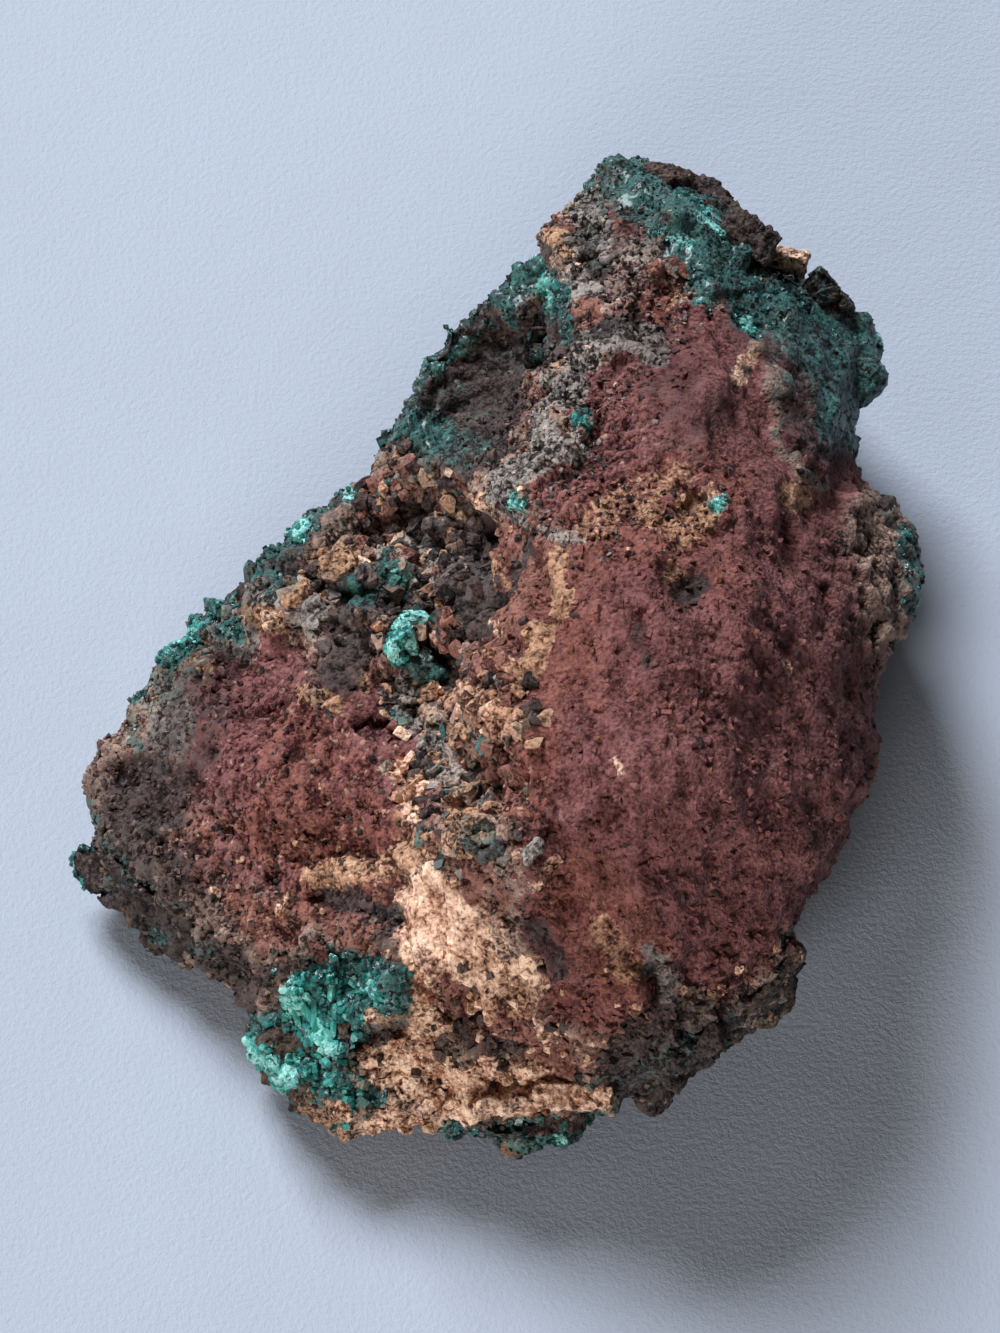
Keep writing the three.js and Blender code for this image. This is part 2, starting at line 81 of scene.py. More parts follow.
# Where a stroke begins to fade and where it is gone, as shares of its reach.
STROKE_EDGE: Span = (0.55, 1.45)
# How far the strokes' edges stray and over what wavelength, coarsely and finely, in millimetres.
EDGE_STRAY: tuple[Span, Span] = ((0.7, 4.0), (0.5, 1.3))
# How far a surface is turned to the eye where the strokes set in and where they are full.
SHOWS: Span = (-0.4, -0.05)
# The same for the strokes that raise it.
RISES: Span = (-0.9, -0.5)
# The heights above the ground between which the carving sets in, in millimetres.
GROUND_FADE: Span = (0.1, 1.6)
# How much farther off a place counts as being, in millimetres, where it is turned away.
TURNED_AWAY = 100.0


# ---- the sheet that the show face is laid out on ---------------------------------------------------


@dataclass(frozen=True)
class Sight:
    """The collector's line of sight, and the sheet square to it.

    Attributes:
        slope_deg: how steeply the eye looks down.
        distance: from the eye to the middle of the sheet, in millimetres.
        centre: the middle of the sheet, in the specimen's frame, in millimetres.
        frame_height: how much of the sheet the picture takes in from top to bottom.
        sensor: the longer side of the camera's sensor, in millimetres.
        clip: the nearest and farthest that the camera sees, in metres.
    """

    slope_deg: float = 62.0
    distance: float = 500.0
    centre: tuple[float, float, float] = (0.0878, -10.772, 25.0)
    frame_height: float = 133.3
    sensor: float = 36.0
    clip: Span = (0.01, 20.0)

    @property
    def ahead(self) -> np.ndarray:
        """The direction that the eye looks in."""
        slope = math.radians(self.slope_deg)
        return np.array([0.0, math.cos(slope), -math.sin(slope)])

    @property
    def up(self) -> np.ndarray:
        """The direction of v, up the sheet."""
        slope = math.radians(self.slope_deg)
        return np.array([0.0, math.sin(slope), math.cos(slope)])

    @property
    def eye(self) -> np.ndarray:
        """Where the eye is, in millimetres."""
        return np.array(self.centre) - self.ahead * self.distance

    def on_sheet(self, points: np.ndarray) -> np.ndarray:
        """Where points show on the sheet.

        Args:
            points: an array of places in millimetres.

        Returns:
            An array of their u and v.
        """
        rays = points - self.eye
        reach = self.distance / (rays @ self.ahead)
        return np.stack([rays[:, 0] * reach, (rays @ self.up) * reach], axis=1)

    def faces_eye(self, points: np.ndarray, normals: np.ndarray) -> np.ndarray:
        """How far each point of a surface is turned to the eye.

        Args:
            points: places in millimetres.
            normals: the surface's directions there.

        Returns:
            1 where the surface faces the eye, 0 at its outline and -1 where it faces away.
        """
        rays = self.eye - points
        rays /= np.linalg.norm(rays, axis=1, keepdims=True)
        return np.sum(rays * normals, axis=1)

    def camera(self) -> None:
        """Adds the camera that looks along the line of sight."""
        tilt = math.radians(90 - self.slope_deg)
        bpy.ops.object.camera_add(location=tuple(self.eye * MM), rotation=(tilt, 0, 0))
        camera = bpy.context.object
        camera.name = "collectors_eye"
        camera.data.sensor_width = self.sensor
        camera.data.lens = self.sensor * self.distance / self.frame_height
        camera.data.clip_start, camera.data.clip_end = self.clip
        bpy.context.scene.camera = camera


def ramp(values: np.ndarray, low: float, high: float) -> np.ndarray:
    """A smooth rise from 0 at low to 1 at high.

    Args:
        values: what is graded.
        low: where the rise starts.
        high: where it ends.

    Returns:
        The graded values.
    """
    share = np.clip((values - low) / (high - low), 0.0, 1.0)
    return share * share * (3.0 - 2.0 * share)


# ---- grain: noise over a cloud of points -----------------------------------------------------------


class Grain(Enum):
    """The kinds of unevenness that the stone has."""

    SOFT = "soft swells"
    RIDGED = "sharp-crested ridges"
    FACET = "broken facets, each with its own height and slope"


def soft_at(place: Sequence[float]) -> float:
    """Soft swells at a place, about -1 to 1."""
    return noise.fractal(place, 0.9, 2.1, 3)


def ridged_at(place: Sequence[float]) -> float:
    """Sharp-crested ridges at a place, -1 to 1."""
    return 1.0 - 3.0 * abs(noise.noise(place))


def facet_at(place: Sequence[float]) -> float:
    """The height of the broken facet at a place, about -1 to 1."""
    middle = noise.voronoi(place)[1][0]
    lean = noise.cell_vector(middle * 7.31) - Vector((0.5, 0.5, 0.5))
    return noise.cell(middle * 5.17) * 0.7 + 2.4 * lean.dot(Vector(place) - middle)


SAMPLERS: dict[Grain, Callable[[Sequence[float]], float]] = {
    Grain.SOFT: soft_at,
    Grain.RIDGED: ridged_at,
    Grain.FACET: facet_at,
}


def grain(points: np.ndarray, size: float, kind: Grain, seed: int) -> np.ndarray:
    """Samples one kind of unevenness.

    Args:
        points: places in millimetres.
        size: its wavelength in millimetres.
        kind: which kind.
        seed: shifts the pattern.

    Returns:
        A value for each place, about -1 to 1.
    """
    sampler = SAMPLERS[kind]
    places = (points / size + seed * SEED_SHIFT).tolist()
    return np.fromiter((sampler(place) for place in places), float, len(places))


def layered(points: np.ndarray, *layers: tuple[Any, float, Grain, int]) -> np.ndarray:
    """Sums layers of unevenness.

    Args:
        points: places in millimetres.
        layers: the strength, wavelength, kind and seed of each.

    Returns:
        A height for each place, in millimetres.
    """
    return sum(strength * grain(points, size, kind, seed) for strength, size, kind, seed in layers)


# ---- strokes on the sheet --------------------------------------------------------------------------


class Zone(Enum):
    """What a stroke lays on the surface. All but the last two are tones of the finish."""

    BLOOM = "bloom"
    RUST = "rust"
    PALE = "pale"
    OCHRE = "ochre"
    GREY = "grey"
    DARK = "dark"
    TEAL = "teal"
    BRIGHT = "bright"
    CALM = "calm"
    RISE = "rise"


TONES = tuple(Zone)[:-2]


@dataclass(frozen=True)
class Stroke:
    """A soft-edged stroke on the sheet.

    Attributes:
        reach: from its middle line to where it is half as strong, in millimetres.
        amount: its strength, or for a rise its height in millimetres.
        path: the points of its middle line.
    """

    reach: float
    amount: float
    path: tuple[Point, ...]

    def cover(self, sheet: np.ndarray) -> np.ndarray:
        """How strongly the stroke covers places on the sheet.

        Args:
            sheet: an array of u and v.

        Returns:
            0 to 1 for each place.
        """
        nearest = np.full(len(sheet), np.inf)
        ends = self.path[1:] or self.path
        for start, end in zip(self.path, ends):
            along = np.subtract(end, start)
            length = max(float(along @ along), 1e-9)
            share = np.clip((sheet - start) @ along / length, 0.0, 1.0)
            gap = sheet - start - share[:, None] * along
            nearest = np.minimum(nearest, np.hypot(gap[:, 0], gap[:, 1]))
        return 1.0 - ramp(nearest / self.reach, *STROKE_EDGE)


def strokes(*rows: Sequence[float]) -> tuple[Stroke, ...]:
    """Strokes, each from a row of its reach, its amount and the u and v of each of its points."""
    return tuple(Stroke(row[0], row[1], tuple(zip(row[2::2], row[3::2]))) for row in rows)


# Each row is a stroke's reach and amount, and then the u and v of its points.
STROKES: dict[Zone, tuple[Stroke, ...]] = {
    Zone.CALM: strokes(
        (9, 1, 22, 12, 28, -4, 22, -20), (8, 1, 12, 4, 12, -16, 14, -26), (6, 0.8, 7, -30, 9, -38),
        (4, 0.6, 2, 11, 4, 0), (7, 0.2, -25, -2, -17, -16), (6, 0.9, 18, 28, 24, 27, 31, 18),
        (6, 0.8, 27, 36, 33, 33, 36, 26), (3, 0.6, -35, -2, -33, -9), (3, 0.6, -7, -24, -3, -28),
    ),
    Zone.BLOOM: strokes(
        (12, 1, 22, 10, 26, -6, 20, -20), (9, 1, 11, 2, 11, -16, 15, -27), (6, 0.95, 18, 30, 24, 27, 30, 20),
        (4, 0.8, 11, 27, 16, 27), (4, 0.7, 7, 18, 13, 20), (7.5, 0.85, -26, -2, -20, -10, -16, -18),
        (5, 0.8, -12, -5, -12, -14), (6, 0.5, -34, -12, -27, -18), (5, 0.4, 13, 43, 16, 36),
        (4, 0.6, 9, -32, 14, -33), (5, 0.5, 14, -30, 20, -28), (3, 0.6, 5, -24, 7, -32),
        (2.4, 0.6, 19, 35.6, 23, 34.6),
    ),
    Zone.RUST: strokes(
        (1.6, 0.9, -1.8, 13.4, -1, 9, 0, 6.5), (3.4, 0.8, 2.4, 11.5, 2.4, 6, 0.6, 2),
        (3.4, 0.7, 4, 1, 3, -6, 2, -12), (4.5, 0.5, 8, 13, 15, 17, 21, 18), (3, 0.4, 8, 8, 9, -2),
        (5, 0.4, 8, -24, 7, -31, 9, -39), (3, 0.4, 14, -26, 14, -36), (2.6, 0.8, 14.5, 36, 17.5, 40),
        (1.2, 0.8, 5.4, 44.6, 6.8, 43.4), (3, 0.5, 10, 40, 13, 46), (1.6, 0.6, 8, 34.6, 12, 36),
        (2.2, 0.6, -5.4, 33.4, -3, 30), (3, 0.5, 0, 27, 4.5, 25.5), (1.4, 0.9, -5.6, 6.4, -5.4, 1),
        (3.4, 0.5, -11, 17, -6, 18), (2.4, 0.6, -3, -2, 0, -5), (3, 0.7, -1, -38.5, 3, -41),
        (5, 0.45, -20, -8, -14, -17), (1.4, 0.7, -16, -21.4, -10.6, -22.4), (1.6, 0.6, -8, -27, -6, -31),
        (1.2, 0.6, -5, -24, -3, -23), (1.2, 0.9, -31, 1.2, -29.6, -0.6), (2.4, 0.6, 4, 8, 7, 2),
        (1.6, 0.6, -34, -14, -30, -17.4), (2.4, 0.5, -22, -14, -15, -18), (4, 0.45, 16, 12, 22, 9),
        (4, 0.5, 8, -22, 13, -29), (3, 0.5, -24, -17, -16, -20), (3, 0.6, -21, -25, -13, -29),
        (2, 0.5, -2, -20, 0, -24), (1.2, 0.6, -12.4, 16.6, -11.6, 15.8), (1.4, 0.6, -6.6, -30.6, -4, -32),
        (1.2, 0.6, -3.6, -24, -2.6, -26), (1.2, 0.5, -7.4, -25.6, -6.6, -28), (2, 0.7, -4, -34.4, 0, -35.6),
        (2.6, 0.5, -8, -17, -4, -20), (2.6, 0.7, 2, -36, 4.6, -40), (2, 0.6, -26, -24, -22, -28),
    ),
    Zone.OCHRE: strokes(
        (1.1, 0.8, 5.8, 10.8, 6, 5.4), (1.3, 0.95, 4.2, 3.4, 3.4, 1, 2.2, -1), (1.2, 0.6, -1.8, 12.6, -1, 9),
        (2, 0.4, 9, 14, 14, 18, 18, 19), (1.4, 1, 19.6, 16, 20.6, 14.6), (1.4, 0.8, 28.8, 17.4, 29.6, 16.6),
        (1.1, 1, -24.8, 5, -21.5, 4.6), (1.1, 1, -20.4, 8.2, -18.6, 7.6), (1.2, 1, -17.2, 10.4, -15.2, 10),
        (0.8, 0.8, -30.4, 0.6, -29.6, -0.4), (0.7, 1, 17.3, 37.1, 17.6, 36.8), (0.8, 0.9, 6.4, 42, 6.6, 41),
        (0.8, 0.8, -1.8, 35.4, -0.4, 34.4), (1, 0.9, -8.4, 28.4, -5.6, 31, -3, 33),
        (0.9, 0.8, 4.4, 30.4, 6.2, 29.8), (1.3, 1, -2.2, -33.6, -1.4, -34.8),
        (1.2, 0.6, -18, -21.4, -13, -20.4, -8.6, -18.8), (1.4, 0.55, -9, -13, -8.5, -19),
        (1.6, 0.5, -1.6, -29, 1, -31), (1.6, 0.8, -4.2, -48, 2.6, -48.8), (2.6, 0.6, -18, -45, -8, -46.5),
        (1.5, 0.7, -4.6, -41, -3.6, -43), (1.2, 0.3, -31, -15.6, -26.4, -15.6),
        (0.8, 0.8, -14.6, -0.2, -13.6, -1.8), (2, 0.5, -2, -3, 1, -6), (1.6, 0.7, -4.5, -14, -2.4, -17),
        (1.4, 0.6, -18.6, -3, -16.8, -4), (2, 0.5, 0, -31, 2, -33.6), (1.6, 0.5, 15, 15, 18, 13),
        (1, 0.6, 17, 9.4, 18.4, 8.6), (2.2, 0.25, -22, -18, -16, -20), (2, 0.4, -8, 0, -5, -6),
        (2, 0.3, -16, -20.4, -9, -19.4), (1.6, 0.5, -7.6, 4, -6.4, -3), (1.6, 0.5, 10, -26, 13, -30),
    ),
    Zone.PALE: strokes(
        (1.6, 1, -7.4, -21.6, -5.4, -23.4), (2.8, 1, -6.2, -24.6, -3.8, -28.4), (2, 0.75, -9, -23, -8.6, -29),
        (1.6, 0.5, -1.6, -25, 0.2, -27), (1.4, 0.6, -3, -31, -1, -32.4), (3.4, 0.85, -11, -37.4, -6, -41),
        (2.4, 0.85, -2, -41.4, 4, -42.4), (2.2, 0.7, -12, -38, -8.6, -39.5), (1.6, 0.8, 0.6, -40, 3, -42),
        (1.4, 0.7, -5, -44.6, -1, -45), (1.6, 0.7, -15, -44.4, -9, -46.4), (1.6, 0.7, -7.8, -31.6, -7.6, -34),
        (1.2, 0.9, -9.8, -10.6, -8.4, -12), (0.9, 0.9, -9, -14, -8, -15.4), (1.6, 0.7, -10, -36, -6.4, -36.4),
        (1.6, 0.7, -13, -41, -9, -42.4), (0.4, 0.6, 0.8, -29.6, 3.2, -31.5, 4.6, -35, 6, -38),
        (0.9, 1, -2.3, -44.2, 0, -43.6, 3, -43.9, 6, -43.5, 10.6, -43.3), (1.2, 1, 4, -42.8, 6, -42.6),
        (1.2, 0.8, 0.8, -30, 2.8, -30.6), (1, 0.8, 18, -32.6, 20, -33), (0.6, 0.8, 19, -36, 21.5, -33.5),
        (0.7, 1, -10.2, 12.8, -9.2, 12.8), (0.5, 1, -7.4, 13.5, -6.8, 13.3), (0.7, 1, -5.2, 14, -4, 15.2),
        (0.5, 1, -1.9, 16.5, -1.2, 16.3), (0.8, 1, -7.6, 20, -6.2, 19.6), (0.7, 1, 20.6, 17.8, 21, 17.2),
        (1, 0.9, 25, 31.6, 23.8, 28.6), (0.5, 0.6, 11.6, -9.4, 11.8, -10.4),
        (0.5, 0.7, 28.6, 0.2, 28.9, -0.4), (1, 0.6, 2, -18.4, 3.6, -17.8), (0.6, 0.8, 3.8, -21, 5.6, -19.4),
        (0.8, 1, 24.6, 41.2, 27.6, 41, 31.6, 39.6), (0.8, 1, -13.2, -34.9, -10.6, -34),
        (0.6, 1, -11.4, -29, -11, -28.4), (0.45, 1, -10.4, -30), (0.5, 0.9, -28.6, -22.4, -28.2, -22.8),
        (0.45, 0.9, -22, -24.6, -21.4, -23.6), (0.5, 1, -0.5, 3.8, -0.2, 3.4), (2.6, 0.35, -12, 12, -9, 17),
        (2, 0.4, -3, -8, -4, -12), (0.5, 0.9, -4.4, 25.6, -3.4, 24.8), (1.2, 0.36, -15, -20.6, -9, -18.8),
    ),
    Zone.GREY: strokes(
        (1.6, 0.8, 12, 33.2, 9.2, 32.3, 6.6, 29), (1.4, 0.85, 6.4, 28.7, 5.8, 26, 4.6, 23),
        (1.6, 0.8, 7.5, 21.8, 3, 20, 0, 17.8, 1.8, 15.6), (1.4, 0.7, 14, 33.4, 16, 31.6),
        (0.8, 0.5, 4, 13.7, 5.4, 13.2, 8, 12.4), (2, 0.6, 8, 38, 9.6, 44), (2.4, 0.4, 12, 37, 13, 41),
        (1.4, 0.9, 8, 48.4, 9, 46), (1.4, 0.8, -25, 8.6, -22.6, 7.4), (2, 0.8, -28, 4.6, -26, 2.6),
        (1.2, 1, -19.4, 6, -18, 4.8), (1, 0.9, -15.8, 9, -12.6, 8.4),
        (2.4, 0.6, -35.6, -2, -32.4, -4, -33, -8), (4, 0.3, -39, -13, -33, -18), (2.6, 0.6, -9.6, -3, -7, -6),
        (1.6, 0.6, -6, -8, -5, -13), (3.4, 0.5, -15, -40, -9, -39), (2, 0.35, 12, -39, 20, -39),
        (1.2, 0.25, 6.5, -15, 10, -16), (1.4, 0.7, 15.5, -29, 17.5, -33), (1.8, 0.7, 15.2, 49.6, 18.4, 47.2),
        (1.2, 0.8, -2.4, -16.6, 0, -18.6), (2.4, 0.5, 28, 34, 31, 31), (1.6, 0.6, -8, 12, -4, 10),
    ),
    # Dark stain, and painted shade: the strokes along the gully's cliff, inside the hollow, under the ledges
    # and over the boulder's right flank paint shadow and shade.
    Zone.DARK: strokes(
        (0.9, 1, -2.4, 14.4, -2.4, 10, -1.8, 6), (1.5, 1, -4, 8, -2.6, 6, -2.4, 3.4),
        (1.4, 0.9, -6, 1.4, -5, -1.2), (2.6, 1, -0.6, 35.5, 2, 33, 4.4, 32.6),
        (2.8, 1, -4, 26.6, -1, 30, 1.6, 33), (2.8, 0.85, -7, 26.4, 0, 26), (2, 0.6, -6, 30, -3, 33),
        (4, 0.45, -29, 0, -31, -8, -34, -12), (5, 0.4, -40, -12, -34, -18), (2, 0.9, -5, 22, -1.5, 21),
        (2.4, 0.85, -9.6, 25.6, -6, 23, -2, 21.6), (2.2, 1, 20.4, 49, 22.5, 46),
        (1.8, 1, 24.4, 44.2, 27.4, 42.8), (0.7, 0.9, 25.6, 39.9, 28, 39.6),
        (1.1, 1, -17, -22.9, -13, -23.8, -11, -24.6), (2, 0.25, -19, -25, -14, -28),
        (1.6, 0.9, -40, -22, -38, -22.6), (1.5, 0.8, -35.4, -26, -33, -27), (2.4, 0.7, -28, -30, -25.4, -33),
        (3, 0.35, -33, -22, -25, -29), (3, 0.4, -35, -12, -38, -18), (1.4, 0.9, -27.4, 7.4, -26, 8),
        (1, 0.9, -22, 9.6, -20.4, 9.6), (2.2, 0.7, -30, 7, -24, 11, -16, 17), (2, 0.7, -12.6, 7.2, -9.6, 6.2),
        (1.4, 0.8, -9.5, 15, -8, 14.6), (1, 1, -7, 12.8, -6.2, 12.4), (1, 1, -4, 15, -3.4, 13.6),
        (0.4, 1, 2.5, 13.4, 1, 9.9, -0.3, 6.6), (0.9, 1, -16, -36.2, -12.6, -37.4, -10, -36.2),
        (1.6, 0.5, -4, -36.6, -3.4, -39), (0.5, 1, -3.2, -33), (0.5, 1, -1.9, -35.7),
        (1.5, 1, -1, -45.4, 9, -44.8), (3, 0.8, 13.4, -38, 17, -36, 20, -35), (3, 0.75, 13, -41, 20, -38),
        (1.3, 0.7, 18.6, 7.4, 20, 8.4), (1, 0.5, 14, 4, 14.5, 1), (4, 0.35, 16, 31, 19, 25),
        (5, 0.3, 34, 8, 35, -6, 32, -16), (6, 0.6, 28, 36, 33, 31, 34, 25), (2.4, 0.6, -16, -1, -15, 4),
        (1.2, 0.7, 22.4, 39.6, 23, 38), (1.4, 0.6, 10, 33.4, 13, 34.6), (1, 0.7, 12.4, 48.6, 15.4, 44.6),
        (1.2, 0.6, 8.6, 42, 10, 39), (1.4, 0.6, 5, 38, 7, 33), (1, 0.6, -12, -26, -10.6, -30),
        (0.9, 0.7, -6.4, -37.6, -5.6, -39), (1.2, 0.7, -1, -37.4, 1.4, -39), (1.4, 0.6, 4, -26, 6, -30),
        (3, 0.4, -8, 18, -4, 12), (2, 0.4, -10.6, 23.6, -4, 21.4), (0.6, 0.9, 24.6, 29.9),
    ),
    Zone.TEAL: strokes(
        (1.1, 1, 9, 49.4, 12.5, 50.6, 14.9, 47.7, 17.2, 46, 20, 44.4, 22, 43.2, 24, 41.2),
        (1.5, 0.9, 19.6, 41.6, 20, 37.4), (1.8, 0.8, 16, 43.2, 19, 42.2), (1.5, 0.7, 22.5, 41, 23.5, 38),
        (1, 0.8, 3, 40.6, 3.6, 39.4), (1.4, 1, 3.8, 38.4, 5.8, 37.2),
        (1.5, 1, 2.2, 38, -1.6, 35.4, -5.4, 32.4, -8.8, 29.2, -10.8, 26, -11.4, 24), (1, 0.8, 6, 36, 6.6, 33),
        (1.9, 0.5, -11, 25.6, -8, 24.6, -6.4, 23.8), (2.4, 0.5, -7, 22.6, -3, 21.6),
        (5, 0.7, 27, 38, 32, 35, 36, 30, 36, 25), (1, 1, 24.4, 34.8, 25.6, 33.4),
        (1.2, 1, 35.5, 33, 37.6, 31), (1, 1, 30, 37.4, 30.6, 36.2), (0.9, 1, 8.7, 25, 8.8, 24.6),
        (0.7, 0.9, 2.2, 16, 2.6, 15.8), (0.7, 1, 21.6, 16.6, 21.8, 15.6), (1, 0.9, -15.6, 17.4, -14.6, 16.8),
        (1.1, 1, -20.8, 13.6, -19.4, 14), (1.1, 0.7, -24, 11.2, -22, 12.6), (1, 0.9, -29, 7, -27.6, 7.8),
        (1.4, 1, -32.4, 3.6, -30.4, 4), (1, 0.8, -27.4, 3, -26.4, 3.4), (1.2, 0.6, -35, -0.6, -36.6, -3.6),
        (1, 0.5, -36.6, -6, -36, -8), (1, 1, -10.8, 9.6, -9.4, 8.2), (1.1, 0.8, -15.2, 7.4, -13.4, 6.6),
        (1.2, 1, -10.4, 1.2, -9.6, 4.2), (0.8, 1, -9.2, 4.8, -8.8, 4), (1.1, 0.9, -8.4, 0, -7.4, -1),
        (0.8, 0.6, -10, -4, -9.4, -5.4), (0.9, 0.6, -2.6, -16.4, -0.4, -18), (1, 1, -41.6, -19, -41, -20.6),
        (0.8, 0.8, -34.8, -26.8, -33.6, -27.2), (1, 0.5, -42, -14, -41.6, -17),
        (2.6, 1, -19, -33, -15, -31, -11, -32), (2.6, 1, -19, -35, -15, -35.4),
        (1.5, 1, -18.4, -36.5, -16.8, -38), (1.3, 1, -24.4, -38, -21.4, -41.2),
        (1.8, 0.9, -19.6, -40, -17, -41), (1, 0.9, -16.4, -41.8, -12.6, -43.6),
        (0.9, 0.8, -24, -35.4, -22.6, -35), (1.5, 1, 4.6, -46.6, 7.2, -47), (2.4, 0.8, 2, -46, 9, -46),
        (1.2, 0.8, -5, -46, -1, -47), (1.6, 0.5, 3, -49, 6, -49.5), (1.6, 0.6, 40.5, 12, 40.8, 6),
        (1.2, 0.4, 13, -41, 18, -38), (1.8, 0.6, 10, 48.6, 14, 46), (1.6, 0.9, -33, 1, -28, 7.6),
        (1.9, 0.9, -11.5, 24, -10.8, 27, -8.6, 30.6, -5.4, 33.6, -1.6, 36.4, 2, 39),
        (1.6, 0.5, -26, 9, -21, 8), (1.2, 0.8, -24, 11, -18, 15.6),
    ),
    Zone.BRIGHT: strokes(
        (0.9, 1, -31.8, 3.4, -30.4, 4.2), (0.8, 0.9, -20.6, 13.7, -19.6, 14),
        (0.7, 0.9, -15.4, 17.2, -15, 17), (0.7, 0.7, -28.8, 7.2, -28, 7.6),
        (0.8, 0.65, 19.4, 44.6, 21.6, 43.4), (1, 0.5, 15.6, 43.4, 18.8, 42.4), (0.9, 0.6, 12.6, 50.4, 11, 50),
        (0.7, 0.6, -11.4, 25.6, -9.2, 29.2, -5.8, 32.6, -2, 35.7, 1, 37.4), (0.9, 1, 4, 38.2, 5.4, 37.2),
        (1.2, 1, -20, -33.8, -17.2, -37.8), (0.8, 0.8, -20.8, -32, -20.2, -32.2),
        (0.9, 0.6, -12.6, -31.8, -11.8, -32.2), (1.1, 1, -24.4, -38.2, -21.6, -41),
        (0.9, 1, -10.4, 1.4, -9.8, 3.8), (0.6, 0.8, -10.2, 9, -9.8, 8.6), (0.7, 0.9, 5, -46.4, 6.4, -47),
        (0.5, 0.8, -2.2, -46.8, -1.8, -46.8), (0.6, 1, 21.6, 16.4, 21.8, 15.6),
        (0.7, 0.9, 24.6, 34.6, 25.4, 33.8), (0.7, 0.6, 2.2, 16, 2.5, 15.8),
        (0.7, 0.7, -41.5, -19.4, -41.2, -20), (0.6, 0.7, 36, 33, 37, 32), (0.6, 0.3, -9, 24.8, -7.8, 24.4),
        (0.8, 0.6, -33, 1.6, -31, 4.6), (0.8, 0.4, 8.6, 24.8, 8.8, 24.6),
    ),
    Zone.RISE: strokes(
        (2.4, -0.3, -35, -1, -31.4, 4.4, -26, 9.4, -19, 14.8, -14, 19.4), (2, 0.8, -40, -8, -42.6, -13),
        (1.8, 1, 37.6, 34, 38.4, 27), (1.8, -1, -42, -14, -42.4, -18, -41, -22),
        (1.8, 1.3, 3, 40.4, 5.6, 44, 8.4, 48, 11.4, 50.4),
        (1.6, -0.7, -11, 27, -8, 31, -3, 35.6, 1.4, 38.4, 4, 40.6), (1.3, -2.2, -2.2, 14, -2.6, 9, -1.8, 6),
        (1.2, 0.9, -4, 8, -2.8, 4), (1.3, -1.8, -6, 1.4, -5, -1.2), (0.7, -0.9, 2.5, 13.4, 1, 9.9, -0.3, 6.6),
        (1.1, -1.2, 3, 11, 5, 5), (1.1, 1, -2.3, -44.2, 0, -43.6, 3, -43.8, 6, -43.4, 10.6, -43),
        (1.4, -0.8, -1, -46, 5, -45.6, 9.6, -45), (1.2, -0.6, 19, 7.6, 20.2, 8.6),
        (0.9, -1.2, 19.2, 16.4, 19.8, 16.8), (1.2, 0.8, 20.6, 18.2, 21.6, 15),
        (1.6, -1.1, -17, -23, -13, -24, -11, -25), (1.3, 0.5, -20, -22, -16, -20.6, -12, -21),
        (1.2, 0.9, -24.6, 5, -19.5, 8, -15.4, 10), (1.1, 0.9, -19.2, 5.6, -18.2, 4.8),
        (1.1, 0.9, -15.6, 8.8, -12.6, 8.2), (1, 0.8, -10.4, 1.4, -9.6, 4.4), (1.3, -0.9, 14, 4.5, 14.6, 0.6),
        (1.1, -1.1, -3.2, -33, -3, -33.4), (1.1, -1.1, -1.9, -35.7, -1.4, -36), (1.8, -1, -4, -37, -3, -40),
        (1.3, 1, 24.5, 41, 32, 39.4), (0.9, -0.9, 25.6, 39.6, 28.4, 39.2), (1, 0.9, 3.6, -21, 5.8, -19.2),
        (1.3, 0.9, 12, 33.4, 9, 32, 6.4, 28.6, 5, 23.4), (1.3, 0.8, 6.6, 21.4, 1, 17),
        (1.4, -1.1, 9, 26.5, 13, 30), (1, 0.9, 8.7, 25, 8.8, 24.6), (1.8, -0.8, 2.5, -12, 6, -20),
        (1.4, -0.8, 9.5, -16, 12, -22), (1.2, 0.9, 9, 49.4, 12.5, 50.4, 14.9, 47.6, 20, 44.2, 24, 41),
        (1.3, -0.8, 18, 48, 22, 45), (1.2, -1.3, -9.5, 15.2, -8, 14.6), (1, -1.3, -7, 12.6, -6, 12.2),
        (1, -1.3, -4, 15, -3.4, 13.6), (1.1, -1.2, -12.4, 7, -9.8, 6.4), (1.1, -1.2, -27.4, 7.2, -26, 8),
        (1, -1, -22, 9.4, -20.4, 9.8), (1.1, -1.4, -16, -36.6, -12.6, -37.6, -10, -36.6),
        (1.1, 0.9, -13.2, -34.7, -10.6, -33.8), (1.6, 0.7, -20, -33.6, -17, -38),
        (1.3, 0.7, -24.2, -38.2, -21.4, -41), (2.4, -1, -1, 35, 4.4, 32),
        (0.9, 0.4, 0.8, -29.6, 3.2, -31.5, 6, -38), (2, -0.8, 13, -38, 18, -36),
    ),
}


def covered(spread: Sequence[Stroke], sheet: np.ndarray) -> np.ndarray:
    """How strongly some strokes together cover places on the sheet, from 0 to 1."""
    bare = np.ones(len(sheet))
    for stroke in spread:
        bare *= 1.0 - stroke.amount * stroke.cover(sheet)
    return 1.0 - bare


def laid(zone: Zone, sheet: np.ndarray) -> np.ndarray:
    """All the strokes of a zone together.

    Args:
        zone: which zone.
        sheet: places on the sheet.

    Returns:
        For a rise the sum in millimetres, and for any other zone a cover from 0 to 1.
    """
    if zone is Zone.RISE:
        return sum(stroke.amount * stroke.cover(sheet) for stroke in STROKES[zone])
    return covered(STROKES[zone], sheet)


# ---- worked-up skins of the solids -----------------------------------------------------------------


def pick(obj: bpy.types.Object) -> None:
    """Makes an object the only one that is selected, and the active one."""
    bpy.ops.object.select_all(action="DESELECT")
    obj.select_set(True)
    bpy.context.view_layer.objects.active = obj


def placed(name: str, mesh: bpy.types.Mesh) -> bpy.types.Object:
    """Puts a mesh in the scene, as an object of that name."""
    obj = bpy.data.objects.new(name, mesh)
    bpy.context.scene.collection.objects.link(obj)
    return obj


